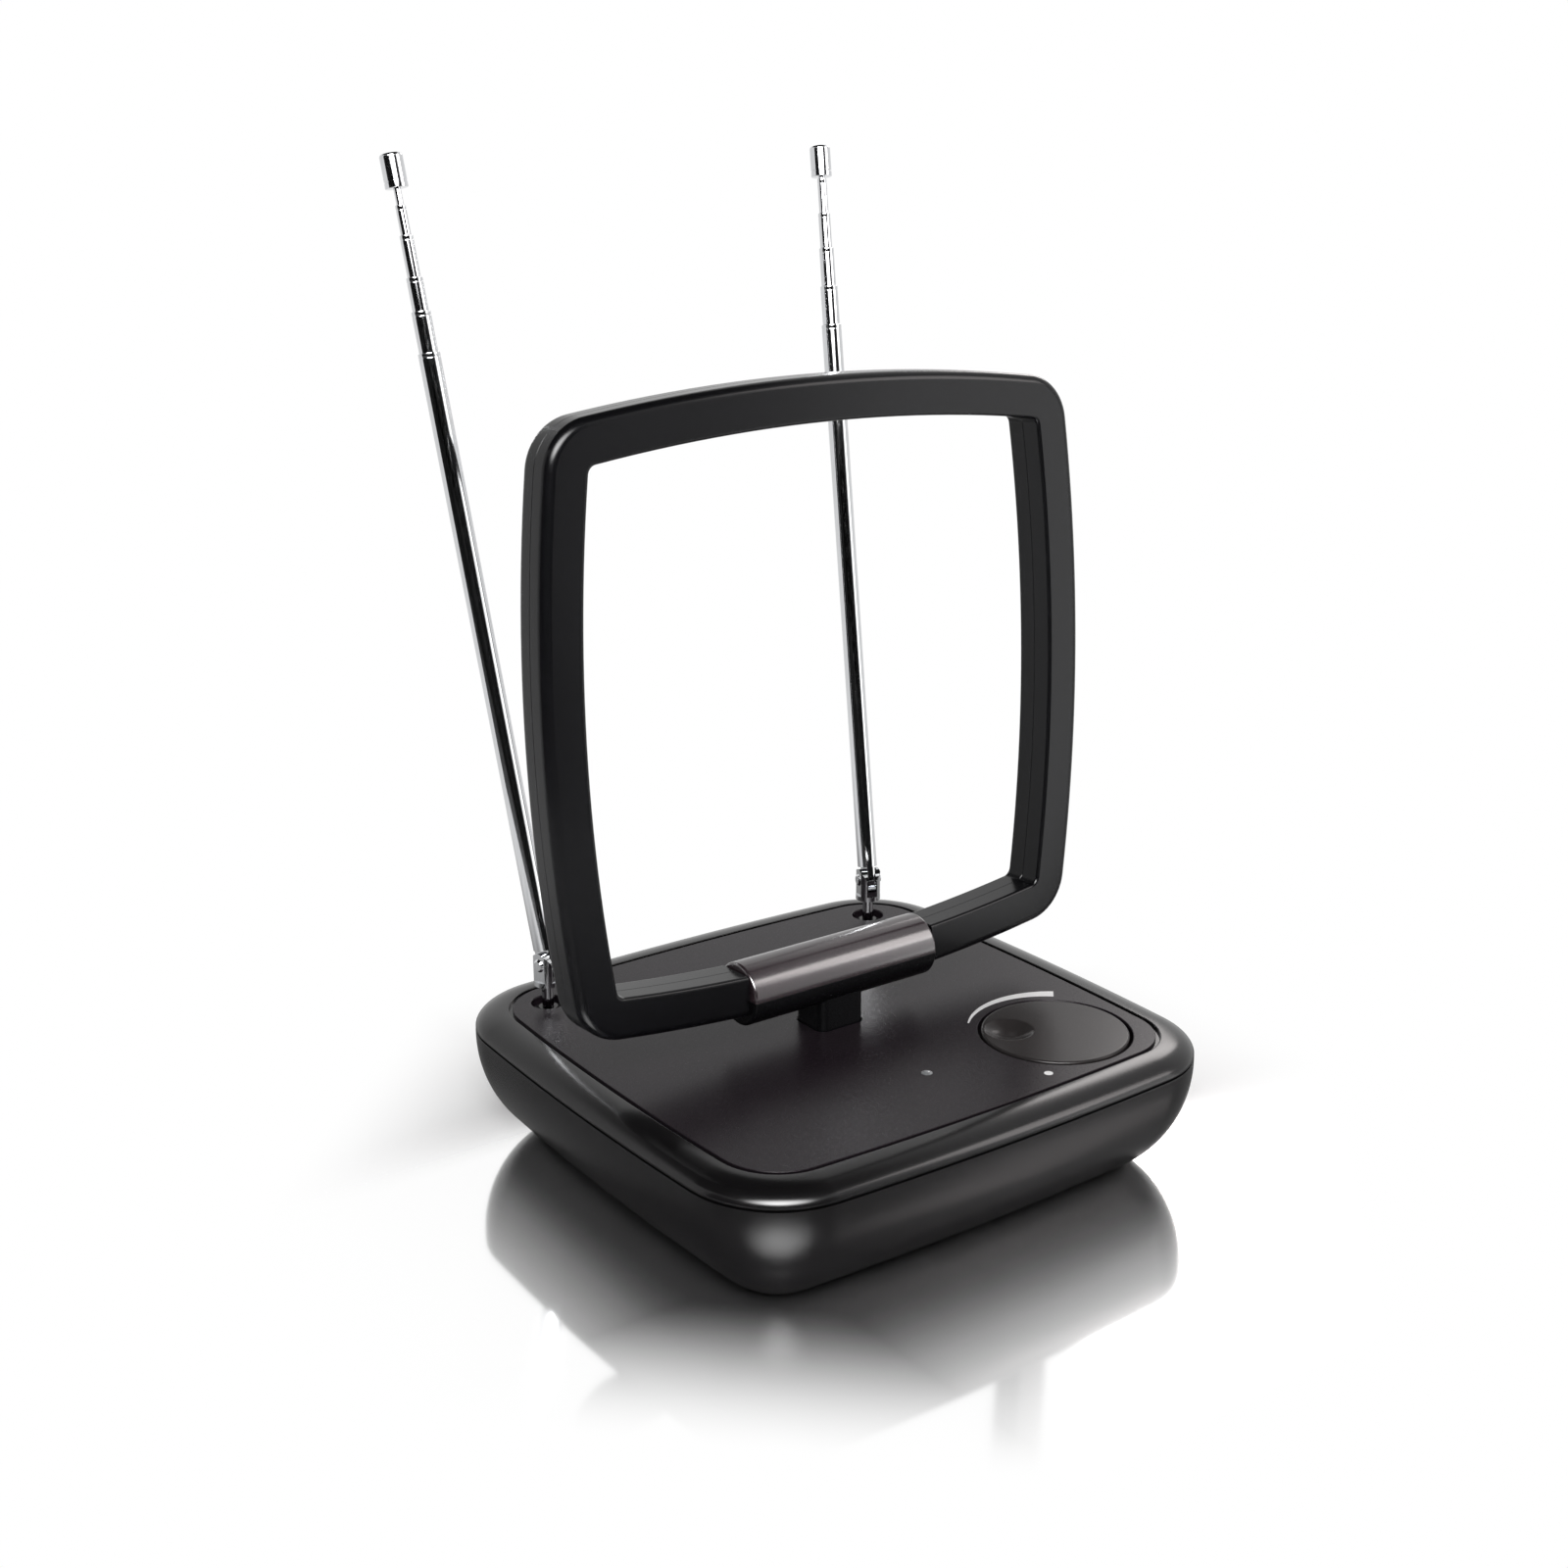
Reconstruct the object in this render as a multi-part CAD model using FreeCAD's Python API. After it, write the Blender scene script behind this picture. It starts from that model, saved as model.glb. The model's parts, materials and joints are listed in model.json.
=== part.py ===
"""Amplified set-top television aerial with a tilting loop and two telescopic rods.

Millimetres, +Z up. The origin is on the table under the middle of the base, +X runs along the
front edge to the right and -Y points to the front, where the gain dial is.
"""
import FreeCAD, Part
import math
import os

# Base outline, measured at the groove round the flat top panel
PANEL_HALF_X = 72.0
PANEL_HALF_Y = 68.2
PANEL_BOW = 2.6
PANEL_CORNER = 17.0

# Base section
TOP_Z = 38.0
RIM_WIDTH = 10.0
RIM_FLAT = 1.0
RIM_DROP = 4.5
SIDE_BAND = 2.0
BOWL_TUCK = 16.0
WALL = 2.0
ROOF = 2.4
FLOOR = 2.2
LIP_DEPTH = 3.0
LIP_WALL = 1.4
LIP_GAP = 0.15
SEAM_GAP = 0.5
SEAM_DEPTH = 1.1
GROOVE_WIDTH = 0.9
GROOVE_DEPTH = 0.8
CORE_MARGIN = 6.0

# Feet
FOOT_RADIUS = 7.0
FOOT_PROUD = 1.5
FOOT_SEAT = 1.0
FOOT_EDGE = 0.6
FOOT_INSET_X = 22.0
FOOT_INSET_Y = 22.2

# Gain dial and the potentiometer under it
DIAL_INSET_X = 27.0
DIAL_INSET_Y = 25.2
DIAL_RADIUS = 20.3
DIAL_GAP = 0.5
DIAL_THICK = 4.0
DIAL_PROUD = 0.3
DIAL_EDGE = 0.6
DIAL_UNDER_GAP = 0.4
DIMPLE_RADIUS = 7.2
DIMPLE_DEPTH = 2.2
DIMPLE_REACH = 12.6
DIMPLE_ANGLE = 141.0
HUB_RADIUS = 5.0
HUB_LENGTH = 9.0
HUB_GAP = 0.6
POT_SHAFT_RADIUS = 3.0
POT_SHAFT_FIT = 0.05
POT_SIZE = 14.0
POT_HEIGHT = 7.0
POT_COLLAR_RADIUS = 4.5
POT_COLLAR_HEIGHT = 3.0

# Power light
LIGHT_X = 0.0
LIGHT_INSET_Y = 25.9
LIGHT_RADIUS = 1.5
LIGHT_DOME = 0.4
LIGHT_FLANGE = 0.9
LIGHT_FIT = 0.05
LED_HEIGHT = 2.0

# Circuit board, screening can and rear sockets
BOARD_LEFT = -14.0
BOARD_INSET_RIGHT = 18.0
BOARD_INSET_FRONT = 16.2
BOARD_INSET_BACK = 10.2
BOARD_TOP = 14.0
BOARD_THICK = 1.6
BOARD_SCREW_INSET = 4.0
BOARD_SCREW_FRONT_INSET = 20.0
STANDOFF_RADIUS = 3.0
CAN_INSET_RIGHT = 36.0
CAN_INSET_BACK = 32.0
CAN_LENGTH = 34.0
CAN_WIDTH = 26.0
CAN_HEIGHT = 8.0
CAN_SHEET = 0.5
BAY_SIDE = 12.0
BAY_BOTTOM = 13.0
BAY_TOP = 28.0
BAY_OUTSET = 2.8
SOCKET_Z = 20.5
SOCKET_SPACING = 20.0
COAX_RADIUS = 4.7
COAX_LENGTH = 10.0
COAX_SHANK_RADIUS = 4.9
COAX_FLANGE_RADIUS = 6.0
COAX_FLANGE_THICK = 1.6
COAX_BODY = 11.0
COAX_BORE_RADIUS = 0.6
COAX_BORE_DEPTH = 7.0
JACK_INSET = 14.0
JACK_RADIUS = 4.2
JACK_BORE_RADIUS = 3.0
JACK_BORE_DEPTH = 9.5
JACK_PIN_RADIUS = 1.0
JACK_BODY = 10.0
SOCKET_HOLE_GAP = 0.2

# Ballast plate
BALLAST_INSET_X = 36.0
BALLAST_INSET_Y = 28.2
BALLAST_WIDTH = 36.0
BALLAST_THICK = 5.0
PEG_RADIUS = 2.5
PEG_INSET = 15.0
PEG_GAP = 0.15
PEG_PROUD = 1.2

# Screws and their bosses
SCREW_RADIUS = 1.4
SCREW_HEAD_RADIUS = 2.6
SCREW_HEAD_HEIGHT = 1.6
SCREW_FIT = 0.05
SCREW_HEAD_GAP = 0.3
BOSS_RADIUS = 4.4
BOSS_MEET_Z = 24.0
BOSS_SEAT = 5.0
CASE_SCREW_BITE = 8.0
BOARD_SCREW_BITE = 5.0
SIDE_BOSS_INSET = 12.0
SIDE_BOSS_Y = 12.0
FRONT_BOSS_LEFT = -30.0
FRONT_BOSS_RIGHT = 12.0
FRONT_BOSS_INSET = 10.2

# Loop hinge on its post
HINGE_RISE = 15.3
SLEEVE_RADIUS = 8.75
SLEEVE_LENGTH = 62.0
SLEEVE_EDGE = 0.8
JOURNAL_RADIUS = 5.0
JOURNAL_GAP = 0.1
JOURNAL_END = 4.0
POST_WIDTH = 15.0
POST_DEPTH = 12.5
POST_EDGE = 2.5
POST_GAP = 0.2
POST_WIRE_HOLE = 3.4
FLANGE_LENGTH = 40.0
FLANGE_WIDTH = 16.0
FLANGE_THICK = 3.0
FLANGE_SCREW_X = 14.5
FLANGE_BOSS_HEIGHT = 5.0
FLANGE_SCREW_BITE = 4.0
DOWEL_RADIUS = 0.8
DOWEL_LENGTH = 2.0
DOWEL_GAP = 0.1
DOWEL_X = 21.0

# Loop frame, measured in its own plane from the hinge axis
LOOP_HALF_WIDTH = 87.5
LOOP_TOP = 161.0
LOOP_BAR = 11.6
LOOP_DEPTH = 12.6
LOOP_BOW = 5.5
LOOP_INNER_CORNER = 2.6
LOOP_OUTER_EDGE = 1.8
LOOP_INNER_EDGE = 1.0
LOOP_END_GAP = 0.4
LOOP_LEAN = 3.0
CONDUCTOR_WIDTH = 6.0
CONDUCTOR_THICK = 1.2
CONDUCTOR_GAP = 0.1
LOOP_LEAD_RADIUS = 0.7
LOOP_LEAD_X = 2.2

# Telescopic rods
ROD_INSET_X = 14.5
ROD_INSET_Y = 12.2
ROD_LEAN = 12.0
ROD_SPLAY = 16.3
PIVOT_RISE = 12.0
TUBE_RADIUS = 3.0
SECTION_STEP = 0.4
SECTION_GAP = 0.15
SLIDE_FIT = 0.05
TUBE_COUNT = 5
TUBE_START = 4.9
TUBE_LENGTH = 165.5
SECTION_SHORTER = 1.5
TUBE_LIP = 1.2
TUBE_EDGE = 0.2
SWELL_LENGTH = 4.0
PLUG_LENGTH = 7.0
PLUG_FIT = 0.02
PLUG_CLEAR = 1.5
CAP_RADIUS = 3.1
CAP_LENGTH = 9.0
CAP_EDGE = 0.8
CAP_BITE = 6.0
LEFT_PULLED = (11.0, 8.9, 11.0, 7.8, 4.3)
RIGHT_PULLED = (11.5, 11.3, 10.3, 10.1, 0.6)

# Rod knuckle and its socket in the cover
SOCKET_RADIUS = 4.8
STEM_RADIUS = 1.7
STEM_FIT = 0.08
COLLAR_RADIUS = 2.7
COLLAR_HEIGHT = 1.2
ROD_FLANGE_RADIUS = 3.8
ROD_FLANGE_THICK = 1.4
FORK_RADIUS = 3.4
FORK_THICK = 6.4
TONGUE_THICK = 2.4
TONGUE_GAP = 0.1
TONGUE_RADIUS = 2.9
FORK_FLOOR_GAP = 0.4
SHOULDER_HEIGHT = 0.8
RIVET_RADIUS = 1.1
RIVET_FIT = 0.05
RIVET_HEAD_RADIUS = 1.9
RIVET_HEAD_HEIGHT = 0.6
BUSH_RADIUS = 6.4
BUSH_LENGTH = 8.0
BUSH_FIT = 0.05
BUSH_CUP_WALL = 1.6
TAG_THICK = 0.8
TAG_RADIUS = 4.6
TAG_FIT = 0.15
TAG_TAIL = 9.0
TAG_TAIL_WIDTH = 3.0
CLIP_RADIUS = 3.2
CLIP_THICK = 1.2
WIRE_RADIUS = 0.8
WIRE_BEND = 3.0
WIRE_LEVEL = 19.0
WIRE_PAD_INSET = 5.0

# Places on the base, measured in from the edge of its panel
FOOT_X = PANEL_HALF_X - FOOT_INSET_X
FOOT_Y = PANEL_HALF_Y - FOOT_INSET_Y
DIAL_X = PANEL_HALF_X - DIAL_INSET_X
DIAL_Y = DIAL_INSET_Y - PANEL_HALF_Y
LIGHT_Y = LIGHT_INSET_Y - PANEL_HALF_Y
BOARD_RIGHT = PANEL_HALF_X - BOARD_INSET_RIGHT
BOARD_FRONT = BOARD_INSET_FRONT - PANEL_HALF_Y
BOARD_BACK = PANEL_HALF_Y - BOARD_INSET_BACK
CAN_X = BOARD_RIGHT - CAN_INSET_RIGHT
CAN_Y = BOARD_BACK - CAN_INSET_BACK
JACK_X = BOARD_RIGHT - JACK_INSET
COAX_X = JACK_X - SOCKET_SPACING
BAY_LEFT = COAX_X - BAY_SIDE
BAY_RIGHT = JACK_X + BAY_SIDE
BAY_Y = PANEL_HALF_Y + BAY_OUTSET
BALLAST_X = BALLAST_INSET_X - PANEL_HALF_X
BALLAST_HALF_Y = PANEL_HALF_Y - BALLAST_INSET_Y
PEG_Y = BALLAST_HALF_Y - PEG_INSET
SIDE_BOSS_X = PANEL_HALF_X - SIDE_BOSS_INSET
FRONT_BOSS_Y = FRONT_BOSS_INSET - PANEL_HALF_Y
ROD_X = PANEL_HALF_X - ROD_INSET_X
ROD_Y = PANEL_HALF_Y - ROD_INSET_Y

# Levels that follow from the sizes above
SEAM_Z = TOP_Z - RIM_DROP
ARC_Z = SEAM_Z - SIDE_BAND
FLOOR_Z = FOOT_PROUD + FLOOR
ROOF_Z = TOP_Z - ROOF
HINGE_Z = TOP_Z + HINGE_RISE
PIVOT_Z = TOP_Z + PIVOT_RISE
BOARD_UNDER = BOARD_TOP - BOARD_THICK
DIAL_TOP = TOP_Z + DIAL_PROUD
DIAL_UNDER = DIAL_TOP - DIAL_THICK
WELL_FLOOR_Z = DIAL_UNDER - DIAL_UNDER_GAP
FLANGE_TOP = ROOF_Z - FLANGE_BOSS_HEIGHT
FLANGE_UNDER = FLANGE_TOP - FLANGE_THICK
BUSH_UNDER = ROOF_Z - BUSH_LENGTH
TAG_UNDER = BUSH_UNDER - TAG_THICK
CASE_SCREWS = (
    (-SIDE_BOSS_X, SIDE_BOSS_Y),
    (SIDE_BOSS_X, SIDE_BOSS_Y),
    (FRONT_BOSS_LEFT, FRONT_BOSS_Y),
    (FRONT_BOSS_RIGHT, FRONT_BOSS_Y),
)
BOARD_SCREWS = tuple(
    (x, y)
    for x in (BOARD_LEFT + BOARD_SCREW_INSET, BOARD_RIGHT - BOARD_SCREW_INSET)
    for y in (BOARD_FRONT + BOARD_SCREW_FRONT_INSET, BOARD_BACK - BOARD_SCREW_INSET)
)
FLANGE_SCREWS = ((-FLANGE_SCREW_X, 0.0), (FLANGE_SCREW_X, 0.0))
DIMPLE_X = DIAL_X + DIMPLE_REACH * math.cos(math.radians(DIMPLE_ANGLE))
DIMPLE_Y = DIAL_Y + DIMPLE_REACH * math.sin(math.radians(DIMPLE_ANGLE))
ABOVE = 20.0
FINE = 0.001

Vector = FreeCAD.Vector
ORIGIN = Vector(0, 0, 0)
RIGHT = Vector(1, 0, 0)
BACK = Vector(0, 1, 0)
UP = Vector(0, 0, 1)


def block(x0, x1, y0, y1, z0, z1):
    """A box between two corners."""
    return Part.makeBox(x1 - x0, y1 - y0, z1 - z0, Vector(x0, y0, z0))


def post(x, y, z0, z1, radius):
    """An upright cylinder."""
    return Part.makeCylinder(radius, z1 - z0, Vector(x, y, z0), UP)


def soft_block(half_x, half_y, edge, z0, z1):
    """An upright block on the centre line with rounded vertical edges."""
    solid = block(-half_x, half_x, -half_y, half_y, z0, z1)
    upright = [e for e in solid.Edges if abs(e.tangentAt(e.FirstParameter).z) > 0.9]
    return solid.makeFillet(edge, upright)


def polygon(points):
    """A face in the XZ plane through (x, z) points."""
    corners = [Vector(x, 0, z) for x, z in points]
    return Part.Face(Part.makePolygon(corners + corners[:1]))


def spun(points):
    """A solid of revolution about Z from a section of (radius, z) points."""
    return polygon(points).revolve(ORIGIN, UP, 360)


def rounded(solid, edge, reach, levels):
    """Round the rims of an upright turned piece that have one radius and lie at the given levels."""
    rims = []
    for rim in solid.Edges:
        curve = None if rim.Degenerated else rim.Curve
        if isinstance(curve, Part.Circle) and abs(curve.Radius - reach) < FINE:
            if any(abs(curve.Center.z - level) < FINE for level in levels):
                rims.append(rim)
    return solid.makeFillet(edge, rims)


def lines(points):
    """Straight edges in the XZ plane through (x, z) points."""
    corners = [Vector(x, 0, z) for x, z in points]
    return [Part.LineSegment(a, b).toShape() for a, b in zip(corners, corners[1:])]


def arc(centre, radius, start, end):
    """A circular edge in the XZ plane between two angles in degrees."""
    middle = (start + end) / 2

    def point(angle):
        turn = math.radians(angle)
        return Vector(centre[0] + radius * math.cos(turn), 0, centre[1] + radius * math.sin(turn))

    return Part.Arc(point(start), point(middle), point(end)).toShape()


def bowed_arcs(half_x, half_y, bow, corner):
    """Centre, radius and angles of eight tangent arcs: four bowed sides and four round corners."""
    end_radius = (half_x**2 + bow**2) / (2 * bow)
    side_radius = (half_y**2 + bow**2) / (2 * bow)
    end_centre = Vector(0, half_y - end_radius, 0)
    side_centre = Vector(half_x - side_radius, 0, 0)
    reach = end_radius - corner
    link = side_centre - end_centre
    along = (reach**2 - (side_radius - corner) ** 2 + link.Length**2) / (2 * link.Length)
    across = math.sqrt(reach**2 - along**2)
    link.normalize()
    middle = end_centre + link * along + link.cross(UP) * across
    to_corner = middle - side_centre
    to_end = middle - end_centre
    low = math.degrees(math.atan2(to_corner.y, to_corner.x))
    high = math.degrees(math.atan2(to_end.y, to_end.x))
    x, y = middle.x, middle.y
    return [
        (side_centre, side_radius, -low, low),
        (middle, corner, low, high),
        (end_centre, end_radius, high, 180 - high),
        (Vector(-x, y, 0), corner, 180 - high, 180 - low),
        (side_centre * -1, side_radius, 180 - low, 180 + low),
        (Vector(-x, -y, 0), corner, 180 + low, 180 + high),
        (end_centre * -1, end_radius, 180 + high, 360 - high),
        (Vector(x, -y, 0), corner, 360 - high, 360 - low),
    ]


def outline_plate(arcs, grow, z0, z1):
    """A plate whose edge runs parallel to an outline."""
    edges = []
    for centre, radius, start, end in arcs:
        points = []
        for angle in (start, (start + end) / 2, end):
            turn = math.radians(angle)
            points.append(centre + Vector(math.cos(turn), math.sin(turn), 0) * (radius + grow))
        edges.append(Part.Arc(*points).toShape())
    face = Part.Face(Part.Wire(edges))
    face.translate(UP * z0)
    return face.extrude(UP * (z1 - z0))


def sweep_round(arcs, section):
    """Carry a section round an outline; its x is measured outwards from the outline."""
    sectors = []
    for centre, radius, start, end in arcs:
        face = section.copy()
        face.translate(RIGHT * radius)
        face.rotate(ORIGIN, UP, start)
        face.translate(centre)
        sectors.append(face.revolve(centre, UP, end - start))
    return sectors[0].multiFuse(sectors[1:]).removeSplitter()


def along_x(x0, x1, y, z, radius):
    """A cylinder that lies along X."""
    return Part.makeCylinder(radius, x1 - x0, Vector(x0, y, z), RIGHT)


def along_y(x, y0, y1, z, radius):
    """A cylinder that lies along Y."""
    return Part.makeCylinder(radius, y1 - y0, Vector(x, y0, z), BACK)


BASE = bowed_arcs(PANEL_HALF_X, PANEL_HALF_Y, PANEL_BOW, PANEL_CORNER)
CORE = BOWL_TUCK - RIM_WIDTH + CORE_MARGIN


def bottom_housing():
    """Bowl of the base with its bosses, standoffs, pegs and the bay for the rear sockets."""
    depth = ARC_Z - FOOT_PROUD
    outer = (depth**2 + BOWL_TUCK**2) / (2 * BOWL_TUCK)
    inner = outer - WALL
    centre = (RIM_WIDTH - outer, ARC_Z)
    outer_end = -math.degrees(math.asin(depth / outer))
    inner_end = -math.degrees(math.asin((ARC_Z - FLOOR_Z) / inner))
    inner_foot = centre[0] + inner * math.cos(math.radians(inner_end))
    section = lines([(-CORE, FOOT_PROUD), (RIM_WIDTH - BOWL_TUCK, FOOT_PROUD)])
    section.append(arc(centre, outer, outer_end, 0))
    section += lines([
        (RIM_WIDTH, ARC_Z),
        (RIM_WIDTH, SEAM_Z - SEAM_GAP),
        (RIM_WIDTH - SEAM_DEPTH, SEAM_Z - SEAM_GAP),
        (RIM_WIDTH - SEAM_DEPTH, SEAM_Z),
        (RIM_WIDTH - WALL, SEAM_Z),
        (RIM_WIDTH - WALL, ARC_Z),
    ])
    section.append(arc(centre, inner, 0, inner_end))
    section += lines([(inner_foot, FLOOR_Z), (-CORE, FLOOR_Z), (-CORE, FOOT_PROUD)])
    shell = sweep_round(BASE, Part.Face(Part.Wire(section)))
    shell = shell.fuse(outline_plate(BASE, -CORE, FOOT_PROUD, FLOOR_Z))

    far = PANEL_HALF_Y + RIM_WIDTH
    bay = block(BAY_LEFT - WALL, BAY_RIGHT + WALL, BAY_Y - WALL, far, BAY_BOTTOM - WALL, BAY_TOP + WALL)
    bay = bay.common(bowl_core(centre, (outer + inner) / 2))
    shell = shell.fuse(bay)
    shell = shell.cut(block(BAY_LEFT, BAY_RIGHT, BAY_Y, far + ABOVE, BAY_BOTTOM, BAY_TOP))
    for x, radius in ((COAX_X, COAX_SHANK_RADIUS), (JACK_X, JACK_RADIUS)):
        shell = shell.cut(along_y(x, BAY_Y - WALL, BAY_Y, SOCKET_Z, radius + SOCKET_HOLE_GAP))

    added = [post(x, y, FOOT_PROUD, BOSS_MEET_Z, BOSS_RADIUS) for x, y in CASE_SCREWS]
    added += [post(x, y, FOOT_PROUD, BOARD_UNDER, STANDOFF_RADIUS) for x, y in BOARD_SCREWS]
    peg_top = FLOOR_Z + BALLAST_THICK + PEG_PROUD
    added += [post(BALLAST_X, y, FOOT_PROUD, peg_top, PEG_RADIUS) for y in (-PEG_Y, PEG_Y)]
    shell = shell.multiFuse(added)

    taken = []
    seat = BOSS_MEET_Z - BOSS_SEAT
    for x, y in CASE_SCREWS:
        taken.append(post(x, y, 0, BOSS_MEET_Z, SCREW_RADIUS + SCREW_FIT))
        taken.append(post(x, y, 0, seat, SCREW_HEAD_RADIUS + SCREW_HEAD_GAP))
    for x, y in BOARD_SCREWS:
        taken.append(post(x, y, BOARD_UNDER - BOARD_SCREW_BITE, BOARD_UNDER, SCREW_RADIUS + SCREW_FIT))
    for x in (-FOOT_X, FOOT_X):
        for y in (-FOOT_Y, FOOT_Y):
            taken.append(post(x, y, 0, FOOT_PROUD + FOOT_SEAT, FOOT_RADIUS))
    return shell.cut(Part.makeCompound(taken)).removeSplitter()


def bowl_core(centre, radius):
    """The space in the bowl up to the middle of its wall."""
    foot = -math.degrees(math.asin((ARC_Z - FLOOR_Z) / radius))
    reach = centre[0] + radius
    section = [arc(centre, radius, foot, 0)]
    section += lines([
        (reach, ARC_Z),
        (reach, SEAM_Z - SEAM_GAP),
        (-CORE, SEAM_Z - SEAM_GAP),
        (-CORE, FLOOR_Z),
        (centre[0] + radius * math.cos(math.radians(foot)), FLOOR_Z),
    ])
    ring = sweep_round(BASE, Part.Face(Part.Wire(section)))
    return ring.fuse(outline_plate(BASE, -CORE, FLOOR_Z, SEAM_Z - SEAM_GAP))


def top_cover():
    """Top cover: flat panel, grooved edge, rounded rim, locating lip and the seats under the roof."""
    lip_out = RIM_WIDTH - WALL - LIP_GAP
    lip_in = lip_out - LIP_WALL
    middle = Vector(RIM_FLAT, 0, SEAM_Z)
    oval = Part.Ellipse(Vector(RIM_WIDTH, 0, SEAM_Z), Vector(RIM_FLAT, 0, TOP_Z), middle)
    section = lines([(-CORE, TOP_Z), (RIM_FLAT, TOP_Z)])
    section.append(oval.toShape(0, math.pi / 2))
    section += lines([
        (RIM_WIDTH, SEAM_Z),
        (lip_out, SEAM_Z),
        (lip_out, SEAM_Z - LIP_DEPTH),
        (lip_in, SEAM_Z - LIP_DEPTH),
        (lip_in, ROOF_Z),
        (-CORE, ROOF_Z),
        (-CORE, TOP_Z),
    ])
    wire = Part.Wire(Part.__sortEdges__(section))
    cover = sweep_round(BASE, Part.Face(wire))
    cover = cover.fuse(outline_plate(BASE, -CORE, ROOF_Z, TOP_Z))

    cup_radius = DIAL_RADIUS + DIAL_GAP
    added = [post(DIAL_X, DIAL_Y, WELL_FLOOR_Z - WALL, ROOF_Z, cup_radius + WALL)]
    added += [post(x, y, BOSS_MEET_Z, ROOF_Z, BOSS_RADIUS) for x, y in CASE_SCREWS]
    added += [post(x, y, FLANGE_TOP, ROOF_Z, BOSS_RADIUS) for x, y in FLANGE_SCREWS]
    cup = BUSH_RADIUS + BUSH_FIT
    added += [post(side * ROD_X, ROD_Y, BUSH_UNDER, ROOF_Z, cup + BUSH_CUP_WALL) for side in (-1, 1)]
    cover = cover.multiFuse(added)

    half = GROOVE_WIDTH / 2
    bed = TOP_Z - GROOVE_DEPTH
    groove = polygon([(-half, bed), (half, bed), (half, TOP_Z), (-half, TOP_Z)])
    taken = [sweep_round(BASE, groove)]
    taken.append(post(DIAL_X, DIAL_Y, WELL_FLOOR_Z, TOP_Z, cup_radius))
    taken.append(post(DIAL_X, DIAL_Y, WELL_FLOOR_Z - WALL, WELL_FLOOR_Z, HUB_RADIUS + HUB_GAP))
    taken.append(post(LIGHT_X, LIGHT_Y, ROOF_Z, TOP_Z, LIGHT_RADIUS + LIGHT_FIT))
    for x, y in CASE_SCREWS:
        taken.append(post(x, y, BOSS_MEET_Z, BOSS_MEET_Z + CASE_SCREW_BITE, SCREW_RADIUS + SCREW_FIT))
    for x, y in FLANGE_SCREWS:
        taken.append(post(x, y, FLANGE_TOP, FLANGE_TOP + FLANGE_SCREW_BITE, SCREW_RADIUS + SCREW_FIT))
    for side in (-1, 1):
        taken.append(post(side * ROD_X, ROD_Y, BUSH_UNDER, ROOF_Z, cup))
        taken.append(post(side * ROD_X, ROD_Y, ROOF_Z, TOP_Z, SOCKET_RADIUS))
    slot_x = POST_WIDTH / 2 + POST_GAP
    slot_y = POST_DEPTH / 2 + POST_GAP
    taken.append(soft_block(slot_x, slot_y, POST_EDGE, ROOF_Z, TOP_Z))
    for cutter in taken:
        cover = cover.cut(cutter)
    return cover.removeSplitter()


def rubber_foot(x, y):
    """Round foot seated in the floor of the bowl."""
    foot = post(0, 0, 0, FOOT_PROUD + FOOT_SEAT, FOOT_RADIUS)
    foot = rounded(foot, FOOT_EDGE, FOOT_RADIUS, [0])
    foot.translate(Vector(x, y, 0))
    return foot


def gain_dial():
    """Flush disc with a finger dimple and a hub that grips the potentiometer shaft."""
    dial = post(DIAL_X, DIAL_Y, DIAL_UNDER, DIAL_TOP, DIAL_RADIUS)
    dial = rounded(dial, DIAL_EDGE, DIAL_RADIUS, [DIAL_TOP])
    dial = dial.fuse(post(DIAL_X, DIAL_Y, DIAL_UNDER - HUB_LENGTH, DIAL_UNDER, HUB_RADIUS))
    ball = (DIMPLE_RADIUS**2 + DIMPLE_DEPTH**2) / (2 * DIMPLE_DEPTH)
    dial = dial.cut(Part.makeSphere(ball, Vector(DIMPLE_X, DIMPLE_Y, DIAL_TOP - DIMPLE_DEPTH + ball)))
    bore = POT_SHAFT_RADIUS + POT_SHAFT_FIT
    return dial.cut(post(DIAL_X, DIAL_Y, DIAL_UNDER - HUB_LENGTH, DIAL_UNDER, bore))


def gain_pot():
    """Potentiometer body and collar on the circuit board."""
    half = POT_SIZE / 2
    top = BOARD_TOP + POT_HEIGHT
    body = block(DIAL_X - half, DIAL_X + half, DIAL_Y - half, DIAL_Y + half, BOARD_TOP, top)
    body = body.fuse(post(DIAL_X, DIAL_Y, top, top + POT_COLLAR_HEIGHT, POT_COLLAR_RADIUS))
    bore = POT_SHAFT_RADIUS + POT_SHAFT_FIT
    return body.cut(post(DIAL_X, DIAL_Y, top - POT_HEIGHT / 2, top + POT_COLLAR_HEIGHT, bore))


def gain_pot_shaft():
    """Shaft that turns with the dial."""
    return post(DIAL_X, DIAL_Y, BOARD_TOP + POT_HEIGHT / 2 + POT_SHAFT_FIT, DIAL_UNDER, POT_SHAFT_RADIUS)


def power_light():
    """Clear light pipe from the lamp on the board to a small dome in the panel."""
    foot = BOARD_TOP + LED_HEIGHT
    pipe = spun([
        (0, foot),
        (LIGHT_RADIUS, foot),
        (LIGHT_RADIUS, ROOF_Z - LIGHT_FLANGE),
        (LIGHT_RADIUS + LIGHT_FLANGE, ROOF_Z - LIGHT_FLANGE),
        (LIGHT_RADIUS + LIGHT_FLANGE, ROOF_Z),
        (LIGHT_RADIUS, ROOF_Z),
        (LIGHT_RADIUS, TOP_Z + LIGHT_DOME),
        (0, TOP_Z + LIGHT_DOME),
    ])
    pipe = rounded(pipe, LIGHT_DOME, LIGHT_RADIUS, [TOP_Z + LIGHT_DOME])
    pipe.translate(Vector(LIGHT_X, LIGHT_Y, 0))
    return pipe


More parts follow.
